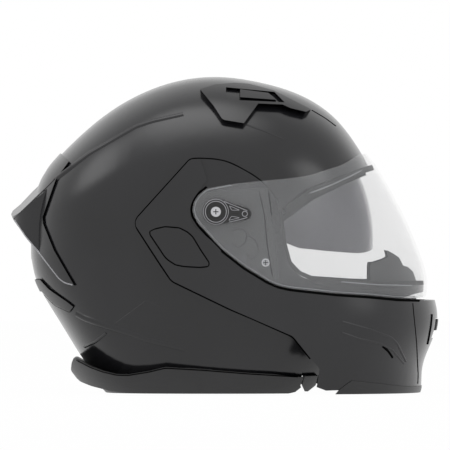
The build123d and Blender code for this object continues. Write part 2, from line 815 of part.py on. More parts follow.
def base_plate():
    """Thin plate between the arm and the visor."""
    plate = side_block(
        ("smooth", [(208.0, 192.5), (199.5, 199.0), (196.5, 209.0), (198.0, 216.0), (203.5, 225.5)]),
        ("smooth", [(213.0, 236.0), (243.6, 263.0), (266.0, 277.0), (277.5, 281.5)]),
        ("straight", [(277.0, 266.0), (274.5, 243.0), (271.0, 216.0), (268.0, 188.0)]),
        inner=pocket_plane, outer=pocket_plane + base_plate_wall,
    )
    for x_px, y_px, radius_px in rivets_px:
        plate -= side_disc((x_px, y_px), radius_px * unit + press_gap, 0.0, seat_plane + overrun)
    return plate


def base_plate_rivets():
    """Rivets and the screw that hold both base plates."""
    top = pocket_plane + base_plate_wall
    heads = [
        side_disc((x, y), r * unit, top - rivet_wall, top)
        for x, y, r in rivets_px
    ]
    return both_sides(Compound(children=heads))


def rivet_holes():
    """Bore of the pivot pin and blind holes for the rivets in the left arm."""
    head_floor = pin_head_plane - pin_head_wall - press_gap
    holes = side_disc(pivot_px, pin_head_radius + running_gap, head_floor, pocket_plane + overrun)
    holes += side_disc(pivot_px, pin_radius + hub_running_gap, 0.0, pocket_plane)
    floor = pocket_plane + base_plate_wall - rivet_wall - press_gap
    for x_px, y_px, radius_px in rivets_px:
        holes += side_disc((x_px, y_px), radius_px * unit + press_gap, floor, pocket_plane)
    return holes


def finished_chin_bar():
    """Chin bar with the places for all that it carries."""
    body = chin_bar()
    cuts = rivet_holes() + hinge_cover() + hook_pin_hole()
    body -= cuts
    body -= mirrored(cuts)
    body -= port_seal()
    front = side_cutter(("straight", mouth_line_px), ("straight", mouth_far_px))
    body -= front - plan_form(chin_rows_px_shares, arm_outer_plane - mouth_wall, mouth_wall)
    above = side_cutter(("straight", visor_lip_px))
    rebate = visor_wall + gasket_outer_gap
    half_width = visor_inner_plane + visor_wall - rebate
    return body - (above - plan_form(visor_rows_px_shares, half_width, rebate))


def visor_hubs():
    """Bosses on the base plates round which the visor turns."""
    foot = pocket_plane + base_plate_wall
    hub = side_disc(pivot_px, hub_radius, foot, hub_top_plane)
    hub -= side_disc(pivot_px, hub_screw_radius + press_gap, hub_top_plane - hub_screw_head, hub_top_plane)
    return both_sides(hub)


def hub_screws():
    screw = side_disc(pivot_px, hub_screw_radius, hub_top_plane - hub_screw_head, hub_top_plane - press_gap)
    slot = Pos(side_vector(pivot_px, hub_top_plane)) * Box(2 * hub_screw_radius, hub_screw_head, 1.0)
    return both_sides(screw - slot)


visor_outer_plane = visor_inner_plane + visor_wall
cap_gap = 0.1


def visor_cap():
    """Teardrop cover that stiffens the visor round its hub."""
    big = cap_radius_px * unit
    centre = side_vector(pivot_px, visor_outer_plane + cap_gap)
    plane = Plane(origin=centre, x_dir=(1, 0, 0), z_dir=(0, -1, 0))
    tip = side_vector(cap_tip_px) - side_vector(pivot_px)
    ends = Circle(big) + Pos(tip.X, tip.Z) * Circle(cap_tip_radius_px * unit)
    outline = make_hull(ends.edges())
    cap = extrude(plane * outline, amount=cap_wall, dir=(0, 1, 0))
    return cap - side_disc(pivot_px, hub_radius + hub_running_gap, 0.0, seat_plane + overrun)


cover_run_px = [
    (151.7, 231.5), (155.5, 229.7), (166.0, 227.3), (180.0, 228.5), (187.4, 232.3), (192.7, 237.0),
    (200.2, 249.5), (208.8, 262.3), (208.4, 265.2), (200.2, 266.1), (184.8, 265.2), (176.6, 263.6),
    (169.5, 259.0), (166.4, 256.0), (151.7, 234.2),
]
cover_depth = 1.6
cover_proud = 0.4


def hinge_cover():
    """Small plate over the fixing of the arm."""
    return side_block(
        ("straight", cover_run_px), inner=arm_outer_plane - cover_depth, outer=arm_outer_plane + cover_proud)


gasket_outer_gap = 0.5
gasket_wall = 4.0
port_seal_run_px = [
    (277.5, 200.0), (282.0, 216.0), (285.5, 242.5), (290.5, 261.0), (300.0, 271.0), (313.0, 276.6),
    (352.0, 279.2), (460.0, 281.7), (460.0, 285.5), (352.0, 283.0), (311.0, 280.4), (297.5, 274.0),
    (288.0, 263.0), (282.5, 242.5), (279.0, 216.0), (274.0, 199.0),
]


def port_seal():
    """Rubber seal along the edge of the eye port that the chin bar carries."""
    region = side_cutter(("straight", port_seal_run_px))
    half_width = visor_inner_plane + visor_wall
    outer = visor_wall + gasket_outer_gap
    return front_band(region, visor_rows_px_shares, half_width, outer, outer + gasket_wall)


brow_seal_run_px = [
    (283.0, 208.0), (309.0, 189.0), (344.0, 174.5), (361.0, 168.0), (400.0, 157.0), (400.0, 162.0),
    (363.0, 173.4), (346.0, 181.0), (311.0, 197.5), (288.0, 215.0),
]


brow_sweep_radius_px = 163.0


def brow_seal():
    """Rubber lip over the eye port, between the shell and the visor."""
    form = plan_form(visor_rows_px_shares, seat_plane - 2 * running_gap, visor_wall + 2 * running_gap)
    reach = shell_width / 2 + overrun
    sweep = side_disc(pivot_px, brow_sweep_radius_px * unit, -reach, reach)
    return (side_cutter(("straight", brow_seal_run_px)) & sweep & form) - helmet_form(-seat_gap)


# Latch of the chin bar
striker_px = (320.0, 350.0)
striker_radius = 2.5
striker_inner_plane = 68.0
striker_outer_plane = 79.0
striker_stem_px = [(305.0, 346.0), (320.0, 346.0), (320.0, 354.0), (305.0, 354.0)]
striker_stem_inner = 75.5
striker_stem_outer = 79.0
hook_pin_px = (334.0, 368.0)
hook_pin_radius = 2.0
hook_inner_plane = 69.5
hook_outer_plane = 73.5
hook_pin_reach = 34.0
hook_run_px = [
    (329.0, 368.0), (324.5, 361.0), (325.0, 353.0), (330.0, 351.0), (331.0, 357.0), (339.0, 368.0),
    (336.0, 373.0), (331.0, 373.0),
]


def striker_stem(gap):
    """Stem of the left striker, grown by a gap."""
    return side_block(
        ("straight", striker_stem_px), inner=striker_stem_inner - gap, outer=striker_stem_outer + gap)


def latch_strikers():
    """Pin and stem on the shell that each hook of the chin bar catches."""
    striker = side_disc(striker_px, striker_radius, striker_inner_plane, striker_outer_plane)
    striker += striker_stem(0.0)
    return both_sides(striker)


def latch_hook():
    hook = side_block(("straight", hook_run_px), inner=hook_inner_plane, outer=hook_outer_plane)
    return hook - side_disc(hook_pin_px, hook_pin_radius + hub_running_gap, 0.0, seat_plane)


def hook_pin_hole():
    """Hole in the side of the chin bar for the end of a hook's pin."""
    return side_disc(
        hook_pin_px, hook_pin_radius + press_gap, hook_inner_plane, hook_outer_plane + hook_pin_reach)


def latch_hook_pins():
    inner = hook_inner_plane - hook_pin_radius
    return both_sides(side_disc(hook_pin_px, hook_pin_radius, inner, hook_outer_plane + hook_pin_reach))


button_half = 9.0
button_px = [(378.0, 391.0), (392.0, 391.0), (392.0, 380.0), (378.0, 380.0)]
button_house_px = [(371.0, 389.0), (399.0, 389.0), (399.0, 370.4), (371.0, 370.4)]
button_hole_px = [(377.5, 392.0), (392.5, 392.0), (392.5, 375.0), (377.5, 375.0)]
button_house_half = 16.0


def release_housing():
    house = side_block(("straight", button_house_px), inner=-button_house_half, outer=button_house_half)
    hole = side_block(
        ("straight", button_hole_px), inner=-button_half - running_gap, outer=button_half + running_gap)
    return house - hole


def release_button():
    return side_block(("straight", button_px), inner=-button_half, outer=button_half)


# Chin strap
strap_run = [(81.0, 101.0), (80.0, 84.0), (72.0, 60.0), (58.0, 33.0), (38.0, 15.0), (17.0, 10.5)]
strap_wall = 1.8
strap_front_px = 212.0
strap_width = 22.0
buckle_half = 17.0
buckle_low = 6.0
buckle_high = 14.0
buckle_side = 2.0
lever_hinge_y = 9.0
lever_hinge_z = 14.0
lever_pin_radius = 1.2
lever_knuckle_radius = 2.6
lever_reach = 22.0
tongue_reach = 12.0
tongue_wall = 2.4
tongue_teeth = 4
tongue_pitch = 3.0
strap_rivet_radius = 3.0
strap_rivet_outer = 108.0
rivet_head_wall = 1.5
rivet_head_gap = 0.8
rivet_drop = 8.0
strap_fold_share = 0.6


def strap():
    """Webbing from the shell's side down to the buckle."""
    x = side_point((strap_front_px, 0.0))[0]
    outer = [Vector(x, y, z) for y, z in strap_run]
    inner = [Vector(x, y - strap_wall, z + strap_wall * strap_fold_share) for y, z in strap_run[:-1]]
    inner.append(Vector(x, strap_run[-1][0], strap_run[-1][1] + strap_wall))
    face = make_face([Spline(*outer), Line(outer[-1], inner[-1]), Spline(*inner), Line(inner[0], outer[0])])
    webbing = extrude(face, amount=strap_width, dir=(-1, 0, 0))
    return webbing - side_disc(strap_rivet_place(), strap_rivet_radius + press_gap, 0.0, seat_plane)


def strap_rivet_place():
    """Middle of the rivet in the photograph's side view."""
    x_px = strap_front_px - strap_width / unit / 2
    return x_px, origin_px[1] - (strap_run[0][1] - rivet_drop) / unit


def strap_rivets():
    """Rivets that hold the strap ends, through the liner to the shell."""
    under_head = strap_run[0][0] - strap_wall - rivet_head_gap
    place = strap_rivet_place()
    rivet = side_disc(place, strap_rivet_radius, under_head - rivet_head_wall, strap_rivet_outer)
    rivet += side_disc(place, 2 * strap_rivet_radius, under_head - rivet_head_wall, under_head)
    return both_sides(rivet)


def buckle_housing():
    """Channel of the buckle, fixed to the right strap."""
    x = side_point((strap_front_px, 0.0))[0] - strap_width / 2
    length = 2 * buckle_half
    width = strap_width + 2 * buckle_side
    height = buckle_high - buckle_low
    middle = (buckle_high + buckle_low) / 2
    body = Pos(x, 0, middle) * Box(width, length, height)
    body -= Pos(x, 0, middle + buckle_side) * Box(strap_width - buckle_side, length + overrun, height)
    body -= Pos(x, lever_hinge_y, lever_hinge_z) * Cylinder(
        lever_pin_radius + press_gap, 2 * width, rotation=(0, 90, 0))
    return body


def buckle_lever_pin():
    x = side_point((strap_front_px, 0.0))[0] - strap_width / 2
    width = strap_width + 2 * buckle_side
    return Pos(x, lever_hinge_y, lever_hinge_z) * Cylinder(lever_pin_radius, width, rotation=(0, 90, 0))


def buckle_lever():
    """Lever over the channel, turning on its pin."""
    x = side_point((strap_front_px, 0.0))[0] - strap_width / 2
    width = strap_width - buckle_side - 2 * running_gap
    knuckle = Pos(x, lever_hinge_y, lever_hinge_z) * Cylinder(
        lever_knuckle_radius, width, rotation=(0, 90, 0))
    blade = Pos(x, lever_hinge_y - lever_reach / 2, lever_hinge_z + lever_knuckle_radius / 2) * Box(
        width, lever_reach, lever_knuckle_radius)
    bore = Pos(x, lever_hinge_y, lever_hinge_z) * Cylinder(
        lever_pin_radius + hub_running_gap, 2 * width, rotation=(0, 90, 0))
    return knuckle + blade - bore


def buckle_tongue():
    """Toothed tongue on the left strap, lying in the channel."""
    x = side_point((strap_front_px, 0.0))[0] - strap_width / 2
    width = strap_width - buckle_side - 2 * running_gap
    floor = (buckle_high + buckle_low) / 2 - (buckle_high - buckle_low) / 2 + buckle_side + seat_gap
    length = strap_run[-1][0] + tongue_reach
    body = Pos(x, strap_run[-1][0] - length / 2, floor + tongue_wall / 2) * Box(width, length, tongue_wall)
    for index in range(tongue_teeth):
        y = -tongue_reach + (index + 0.5) * tongue_pitch
        body -= Pos(x, y, floor + tongue_wall) * Box(2 * width, tongue_pitch / 2, tongue_wall / 2)
    return body


def sun_lever():
    """Slider at the left edge of the shell that moves the sun visor."""
    knob = side_block(("straight", lever_run_px), inner=lever_inner_plane, outer=lever_outer_plane)
    return knob


pieces = {}


def add_pair(name, piece):
    """Keep a piece for the left side and its mirror image for the right."""
    pieces[f"{name}_left"] = piece
    pieces[f"{name}_right"] = mirrored(piece)


pieces["outer_shell"] = outer_shell()
pieces["eps_liner"] = eps_liner()
pieces["crown_pad"] = crown_pad()
add_pair("cheek_pad", cheek_pad())
pieces["neck_roll"] = neck_roll()
pieces["edge_trim"] = edge_trim()
pieces["jaw_trims"] = jaw_trims()
pieces["rear_spoiler"] = rear_spoiler()
pieces["rear_vent"] = rear_vent()
add_pair("top_vent", top_vent())
add_pair("top_vent_slider", top_vent_slider())
add_pair("hinge_plate", hinge_plate())
pieces["hinge_plate_screws"] = hinge_plate_screws()
pieces["pivot_pins"] = pivot_pins()
pieces["sun_visor"] = sun_visor()
add_pair("sun_bracket", sun_bracket())
pieces["brow_seal"] = brow_seal()
pieces["latch_strikers"] = latch_strikers()

pieces["chin_bar"] = finished_chin_bar()
pieces["chin_eps"] = chin_eps()
pieces["chin_lower_trim"] = chin_lower_trim()
pieces["mouth_panel"] = mouth_panel()
pieces["mouth_slider"] = mouth_slider()
pieces["breath_deflector"] = breath_deflector()
pieces["port_seal"] = port_seal()
add_pair("base_plate", base_plate())
pieces["base_plate_rivets"] = base_plate_rivets()
pieces["visor_hubs"] = visor_hubs()
pieces["hub_screws"] = hub_screws()
add_pair("hinge_cover", hinge_cover())
add_pair("latch_hook", latch_hook())
pieces["latch_hook_pins"] = latch_hook_pins()
pieces["release_housing"] = release_housing()
pieces["release_button"] = release_button()

pieces["visor"] = visor()
add_pair("visor_cap", visor_cap())
add_pair("chin_strap", strap())
pieces["strap_rivets"] = strap_rivets()
pieces["buckle_housing"] = buckle_housing()
pieces["buckle_lever_pin"] = buckle_lever_pin()
pieces["buckle_lever"] = buckle_lever()
pieces["buckle_tongue"] = buckle_tongue()
pieces["sun_lever"] = sun_lever()

os.makedirs("parts", exist_ok=True)
for name, piece in pieces.items():
    export_step(piece, f"parts/{name}.step")
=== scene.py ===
"""Modular motorcycle helmet: gloss black shell, clear visor, smoked inner visor, soft lining."""
import logging
import math
from dataclasses import dataclass, field
from enum import Enum

import bmesh
import bpy
from mathutils import Matrix, Vector
from mathutils.bvhtree import BVHTree


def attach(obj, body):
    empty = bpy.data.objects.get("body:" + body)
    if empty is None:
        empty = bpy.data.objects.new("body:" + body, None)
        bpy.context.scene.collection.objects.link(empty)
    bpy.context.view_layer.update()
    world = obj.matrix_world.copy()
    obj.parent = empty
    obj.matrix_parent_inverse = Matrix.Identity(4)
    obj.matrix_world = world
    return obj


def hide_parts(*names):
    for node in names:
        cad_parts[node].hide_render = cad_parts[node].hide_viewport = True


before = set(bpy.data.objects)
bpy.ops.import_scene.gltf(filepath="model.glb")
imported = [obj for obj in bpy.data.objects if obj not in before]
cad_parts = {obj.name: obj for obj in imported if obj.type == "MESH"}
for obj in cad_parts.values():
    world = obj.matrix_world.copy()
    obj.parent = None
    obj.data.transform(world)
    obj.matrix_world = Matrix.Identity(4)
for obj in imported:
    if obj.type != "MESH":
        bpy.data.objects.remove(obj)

LOG = logging.getLogger("helmet")
UNIT = 0.000830215
ORIGIN_PX = (225.1, 392.0)
FRAME_PX = 450
MERGE_DISTANCE = 1e-6
RAY_REACH = 0.3
TONE_ENDS = (0.3, 0.7)
SizePair = tuple[float, float]
Points = list[SizePair]


class Side(Enum):
    """The helmet's two sides, by the sign of Y."""

    RIGHT = -1.0
    LEFT = 1.0


def side_place(point: SizePair) -> SizePair:
    """Turn a point of the side view into a place.

    Args:
        point: The point in the side view.

    Returns:
        X and Z in metres.
    """
    return (point[0] - ORIGIN_PX[0]) * UNIT, (ORIGIN_PX[1] - point[1]) * UNIT


# Node helpers and shared effects
def add_node(tree: bpy.types.NodeTree, kind: str, **settings: object) -> bpy.types.Node:
    """Add a shader node and set its plain properties.

    Args:
        tree: The tree that takes the node.
        kind: The node's type name.
        settings: Properties of the node.

    Returns:
        The new node.
    """
    node = tree.nodes.new(kind)
    for key, value in settings.items():
        setattr(node, key, value)
    return node


def new_group(name: str, inputs: dict[str, float], outputs: dict[str, str]) -> bpy.types.NodeTree:
    """Start a shader node group with float inputs and named outputs.

    Args:
        name: The group's name.
        inputs: Default value of each input.
        outputs: Socket type of each output.

    Returns:
        The group, with its input and output nodes named In and Out.
    """
    group = bpy.data.node_groups.new(name, "ShaderNodeTree")
    for key, value in inputs.items():
        socket = group.interface.new_socket(key, in_out="INPUT", socket_type="NodeSocketFloat")
        socket.default_value = value
    for key, kind in outputs.items():
        group.interface.new_socket(key, in_out="OUTPUT", socket_type=kind)
    add_node(group, "NodeGroupInput", name="In")
    add_node(group, "NodeGroupOutput", name="Out")
    return group


def grain_group() -> bpy.types.NodeTree:
    """Build the fine grain of moulded and lacquered surfaces.

    Returns:
        A group with the outputs Height and Tone.
    """
    group = new_group(
        "surface_grain", {"Scale": 900.0, "Drift Scale": 9.0},
        {"Height": "NodeSocketFloat", "Tone": "NodeSocketFloat"})
    place = add_node(group, "ShaderNodeTexCoord")
    fine = add_node(group, "ShaderNodeTexNoise")
    fine.inputs["Detail"].default_value = 3.0
    broad = add_node(group, "ShaderNodeTexNoise")
    broad.inputs["Detail"].default_value = 4.0
    start, end = group.nodes["In"], group.nodes["Out"]
    group.links.new(place.outputs["Object"], fine.inputs["Vector"])
    group.links.new(place.outputs["Object"], broad.inputs["Vector"])
    group.links.new(start.outputs["Scale"], fine.inputs["Scale"])
    group.links.new(start.outputs["Drift Scale"], broad.inputs["Scale"])
    group.links.new(fine.outputs["Fac"], end.inputs["Height"])
    group.links.new(broad.outputs["Fac"], end.inputs["Tone"])
    return group


def weave_group() -> bpy.types.NodeTree:
    """Build crossed threads for knit and webbing.

    Returns:
        A group with the output Height.
    """
    group = new_group("thread_weave", {"Scale": 420.0}, {"Height": "NodeSocketFloat"})
    place = add_node(group, "ShaderNodeTexCoord")
    start, end = group.nodes["In"], group.nodes["Out"]
    waves = []
    for direction in ("X", "Z", "Y"):
        wave = add_node(group, "ShaderNodeTexWave", wave_type="BANDS", bands_direction=direction)
        wave.inputs["Distortion"].default_value = 0.6
        group.links.new(place.outputs["Object"], wave.inputs["Vector"])
        group.links.new(start.outputs["Scale"], wave.inputs["Scale"])
        waves.append(wave)
    first = add_node(group, "ShaderNodeMath", operation="MAXIMUM")
    second = add_node(group, "ShaderNodeMath", operation="MAXIMUM")
    group.links.new(waves[0].outputs["Fac"], first.inputs[0])
    group.links.new(waves[1].outputs["Fac"], first.inputs[1])
    group.links.new(first.outputs[0], second.inputs[0])
    group.links.new(waves[2].outputs["Fac"], second.inputs[1])
    group.links.new(second.outputs[0], end.inputs["Height"])
    return group


def bead_group() -> bpy.types.NodeTree:
    """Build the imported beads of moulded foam.

    Returns:
        A group with the output Height.
    """
    group = new_group("foam_beads", {"Scale": 260.0}, {"Height": "NodeSocketFloat"})
    place = add_node(group, "ShaderNodeTexCoord")
    cells = add_node(group, "ShaderNodeTexVoronoi", feature="SMOOTH_F1")
    start, end = group.nodes["In"], group.nodes["Out"]
    group.links.new(place.outputs["Object"], cells.inputs["Vector"])
    group.links.new(start.outputs["Scale"], cells.inputs["Scale"])
    group.links.new(cells.outputs["Distance"], end.inputs["Height"])
    return group


class Effect(Enum):
    """The effect that gives a finish its relief."""

    GRAIN = "surface_grain"
    WEAVE = "thread_weave"
    BEADS = "foam_beads"


@dataclass(frozen=True)
class Finish:
    """One opaque finish: two near colours, a relief and its gloss.

    Args:
        name: Name of the material.
        light: The lighter colour of its drift.
        dark: The darker colour of its drift.
        rough: Lowest and highest roughness.
        effect: The relief's group.
        scale: Scale of the relief.
        relief: Strength of the bump.
        depth: Height of the bump in metres.
        coat: Weight of a clear coat.
        metal: Metallic value.
        sheen: Weight of the fabric sheen.
        shine: Strength of its plain reflection.
        coat_rough: Roughness of the clear coat.
    """

    name: str
    light: tuple[float, float, float]
    dark: tuple[float, float, float]
    rough: SizePair
    effect: Effect = Effect.GRAIN
    scale: float = 900.0
    relief: float = 0.1
    depth: float = 0.0002
    coat: float = 0.0
    metal: float = 0.0
    sheen: float = 0.0
    shine: float = 0.5
    coat_rough: float = 0.04

    def build(self) -> bpy.types.Material:
        """Build the material.

        Returns:
            The material.
        """
        material = bpy.data.materials.new(self.name)
        material.use_nodes = True
        tree = material.node_tree
        shader = tree.nodes["Principled BSDF"]
        relief = add_node(tree, "ShaderNodeGroup", node_tree=bpy.data.node_groups[self.effect.value])
        relief.inputs["Scale"].default_value = self.scale
        tone = relief
        if self.effect is not Effect.GRAIN:
            tone = add_node(tree, "ShaderNodeGroup", node_tree=bpy.data.node_groups[Effect.GRAIN.value])
        ramp = add_node(tree, "ShaderNodeValToRGB")
        for element, end, color in zip(ramp.color_ramp.elements, TONE_ENDS, (self.dark, self.light)):
            element.position = end
            element.color = (*color, 1.0)
        rough = add_node(tree, "ShaderNodeMapRange")
        rough.inputs["To Min"].default_value = self.rough[0]
        rough.inputs["To Max"].default_value = self.rough[1]
        bump = add_node(tree, "ShaderNodeBump")
        bump.inputs["Strength"].default_value = self.relief
        bump.inputs["Distance"].default_value = self.depth
        tree.links.new(tone.outputs["Tone"], ramp.inputs["Fac"])
        tree.links.new(tone.outputs["Tone"], rough.inputs["Value"])
        tree.links.new(relief.outputs["Height"], bump.inputs["Height"])
        tree.links.new(ramp.outputs["Color"], shader.inputs["Base Color"])
        tree.links.new(rough.outputs["Result"], shader.inputs["Roughness"])
        tree.links.new(bump.outputs["Normal"], shader.inputs["Normal"])
        shader.inputs["Metallic"].default_value = self.metal
        shader.inputs["Coat Weight"].default_value = self.coat
        shader.inputs["Coat Roughness"].default_value = self.coat_rough
        shader.inputs["Sheen Weight"].default_value = self.sheen
        shader.inputs["Specular IOR Level"].default_value = self.shine
        return material


@dataclass(frozen=True)
class ClearFinish:
    """A see-through plastic: its colour laid over what lies behind at a cover that varies at random; on the
    clear visor this light grey veil is a painted reflection.

    Args:
        name: Name of the material.
        color: Colour of the plastic.
        alpha: Least and most cover of one surface.
        rough: Least and most roughness.
        ior: Refractive index of the plastic.
    """

    name: str
    color: tuple[float, float, float]
    alpha: SizePair
    rough: SizePair
    ior: float = 1.5

    def build(self) -> bpy.types.Material:
        """Build the material.

        Returns:
            The material.
        """
        material = bpy.data.materials.new(self.name)
        material.use_nodes = True
        tree = material.node_tree
        shader = tree.nodes["Principled BSDF"]
        shader.inputs["Base Color"].default_value = (*self.color, 1.0)
        shader.inputs["IOR"].default_value = self.ior
        veil = add_node(tree, "ShaderNodeGroup", node_tree=bpy.data.node_groups[Effect.GRAIN.value])
        for socket, ends in (("Alpha", self.alpha), ("Roughness", self.rough)):
            reach = add_node(tree, "ShaderNodeMapRange")
            reach.inputs["From Min"].default_value = TONE_ENDS[0]
            reach.inputs["From Max"].default_value = TONE_ENDS[1]
            reach.inputs["To Min"].default_value = ends[0]
            reach.inputs["To Max"].default_value = ends[1]
            tree.links.new(veil.outputs["Tone"], reach.inputs["Value"])
            tree.links.new(reach.outputs["Result"], shader.inputs[socket])
        return material


# The helmet's finishes
LACQUER = Finish("black_gloss_lacquer", (0.012, 0.012, 0.014), (0.006, 0.006, 0.007), (0.17, 0.23),
                 scale=220.0, relief=0.012)
TRIM = Finish("satin_black_trim", (0.016, 0.016, 0.017), (0.009, 0.009, 0.01), (0.3, 0.42),
              scale=1400.0, relief=0.12)
MOULDED = Finish("moulded_black_plastic", (0.022, 0.022, 0.023), (0.012, 0.012, 0.013), (0.45, 0.6),
                 scale=1100.0, relief=0.25)
RUBBER = Finish("black_rubber", (0.014, 0.014, 0.014), (0.008, 0.008, 0.008), (0.55, 0.75),
                scale=700.0, relief=0.2)
# Near-black and barely reflecting: painted shade in the gaps of seams and joints, in screw slots and along
# plate ribs.
SEAM_SHADE = Finish("unlit_seam_black", (0.003, 0.003, 0.003), (0.0015, 0.0015, 0.0015), (0.8, 0.95),
              scale=700.0, relief=0.1, shine=0.02)
PLATE = Finish("smooth_black_plate", (0.03, 0.03, 0.031), (0.025, 0.025, 0.026), (0.36, 0.39),
               scale=220.0, relief=0.008)
LEATHERETTE = Finish("black_leatherette", (0.02, 0.02, 0.021), (0.011, 0.011, 0.012), (0.38, 0.55),
                     effect=Effect.BEADS, scale=480.0, relief=0.25, depth=0.0003, sheen=0.05)
FOAM = Finish("black_bead_foam", (0.035, 0.035, 0.037), (0.022, 0.022, 0.024), (0.65, 0.85),
              effect=Effect.BEADS, scale=240.0, relief=0.5, depth=0.0005)
KNIT = Finish("brushed_black_knit", (0.035, 0.036, 0.04), (0.02, 0.02, 0.023), (0.8, 0.95),
              effect=Effect.WEAVE, scale=330.0, relief=0.5, depth=0.0004, sheen=0.35)
WEBBING = Finish("woven_black_webbing", (0.03, 0.03, 0.032), (0.016, 0.016, 0.017), (0.55, 0.75),
                 effect=Effect.WEAVE, scale=210.0, relief=0.7, depth=0.0006, sheen=0.15)
THREAD = Finish("grey_thread", (0.16, 0.16, 0.17), (0.09, 0.09, 0.1), (0.6, 0.8),
                effect=Effect.WEAVE, scale=900.0, relief=0.4)
STEEL = Finish("brushed_steel", (0.6, 0.6, 0.62), (0.46, 0.46, 0.48), (0.24, 0.38),
               scale=1600.0, relief=0.08, metal=1.0)
DARK_STEEL = Finish("blackened_steel", (0.09, 0.09, 0.095), (0.05, 0.05, 0.055), (0.3, 0.45),
                    scale=1600.0, relief=0.1, metal=1.0)
RED = Finish("red_moulded_lever", (0.42, 0.025, 0.02), (0.33, 0.018, 0.015), (0.25, 0.4),
             scale=900.0, relief=0.08, coat=0.3)
# Pale grey beads on black parts: painted highlights along creases and rims.
PALE_HIGHLIGHT = Finish("pale_satin_rim", (0.42, 0.42, 0.44), (0.3, 0.3, 0.32), (0.3, 0.45), scale=1500.0, relief=0.06)
# Pale grey and half covering: painted highlights along the visor's edge and bends.
VISOR_HIGHLIGHT = ClearFinish("polished_visor_edge", (0.5, 0.51, 0.53), (0.45, 0.55), (0.08, 0.14))
# Light grey veil over the clear visor: a painted reflection of the bright surroundings.
CLEAR = ClearFinish("clear_polycarbonate", (0.72, 0.73, 0.75), (0.1, 0.13), (0.03, 0.07))
SMOKE = ClearFinish("smoked_polycarbonate", (0.1, 0.092, 0.125), (0.5, 0.55), (0.04, 0.08))

NODE_FINISHES: dict[str, tuple[str, ...]] = {
    LACQUER.name: ("outer_shell", "rear_spoiler", "chin_bar", "mouth_panel", "top_vent_left",
                   "top_vent_right", "hinge_cover_left", "hinge_cover_right"),
    TRIM.name: ("rear_vent", "chin_lower_trim", "visor_cap_left", "visor_cap_right", "jaw_trims", "visor_hubs"),
    PLATE.name: ("base_plate_left", "base_plate_right"),
    MOULDED.name: ("top_vent_slider_left", "top_vent_slider_right", "mouth_slider", "release_housing",
                   "release_button", "sun_lever", "sun_bracket_left", "sun_bracket_right", "breath_deflector",
                   "buckle_housing", "latch_hook_left", "latch_hook_right"),
    RUBBER.name: ("brow_seal", "port_seal"),
    FOAM.name: ("eps_liner", "chin_eps"),
    STEEL.name: ("hinge_plate_left", "hinge_plate_right", "hinge_plate_screws", "pivot_pins",
                 "latch_strikers", "latch_hook_pins", "strap_rivets", "hub_screws", "buckle_lever_pin",
                 "buckle_tongue"),
    DARK_STEEL.name: ("base_plate_rivets",),
    RED.name: ("buckle_lever",),
    CLEAR.name: ("visor",),
    SMOKE.name: ("sun_visor",),
    LEATHERETTE.name: ("edge_trim",),
    KNIT.name: ("crown_pad", "cheek_pad_left", "cheek_pad_right", "neck_roll"),
    WEBBING.name: ("chin_strap_left", "chin_strap_right"),
}


class Workshop:
    """Builds the finishes once and turns meshes into pieces that ride on a body."""

    def __init__(self) -> None:
        """Build the shared effects and every finish."""
        grain_group()
        weave_group()
        bead_group()
        kinds = (LACQUER, TRIM, MOULDED, RUBBER, SEAM_SHADE, PLATE, LEATHERETTE, FOAM, KNIT, WEBBING, THREAD, STEEL,
                 DARK_STEEL, RED, PALE_HIGHLIGHT, VISOR_HIGHLIGHT, CLEAR, SMOKE)
        self.materials = {kind.name: kind.build() for kind in kinds}

    def dress_nodes(self) -> None:
        """Give every CAD node its finish."""
        for name, nodes in NODE_FINISHES.items():
            for node in nodes:
                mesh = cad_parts[node].data
                mesh.materials.clear()
                mesh.materials.append(self.materials[name])

    def piece(self, name: str, mesh: bpy.types.Mesh, finish: str, body: str, slot: str,
              smooth: bool = True) -> bpy.types.Object:
        """Turn a mesh into a piece of the helmet.

        Args:
            name: The piece's name.
            mesh: Its mesh, in place.
            finish: Name of its finish.
            body: The body it rides on.
            slot: The record's material slot that it stands for; not used.
            smooth: Whether its faces are shaded smooth.

        Returns:
            The new object.
        """
        mesh.materials.clear()
        mesh.materials.append(self.materials[finish])
        if smooth:
            mesh.shade_smooth()
        piece = bpy.data.objects.new(name, mesh)
        bpy.context.collection.objects.link(piece)
        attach(piece, body)
        LOG.info("%s: %d faces", name, len(mesh.polygons))
        return piece


def node_copy(node: str) -> bmesh.types.BMesh:
    """Copy a CAD node's mesh with its doubles merged.

    Args:
        node: The node's name.

    Returns:
        The copy, which the caller frees.
    """
    work = bmesh.new()
    work.from_mesh(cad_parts[node].data)
    bmesh.ops.remove_doubles(work, verts=work.verts, dist=MERGE_DISTANCE)
    return work


def finished(name: str, work: bmesh.types.BMesh, modifiers: tuple[dict[str, object], ...]) -> bpy.types.Mesh:
    """Run modifiers over a bmesh and keep what they make.

    Args:
        name: Name of the mesh.
        work: The bmesh, freed here.
        modifiers: Each modifier's type and its settings.

    Returns:
        The finished mesh.
    """
    mesh = bpy.data.meshes.new(name)
    work.to_mesh(mesh)
    work.free()
    holder = bpy.data.objects.new(name + "_work", mesh)
    bpy.context.collection.objects.link(holder)
    for settings in modifiers:
        modifier = holder.modifiers.new(str(settings["type"]), str(settings["type"]))
        for key, value in settings.items():
            if key != "type":
                setattr(modifier, key, value)
    graph = bpy.context.evaluated_depsgraph_get()
    graph.update()
    result = bpy.data.meshes.new_from_object(holder.evaluated_get(graph))
    result.name = name
    bpy.data.objects.remove(holder)
    return result


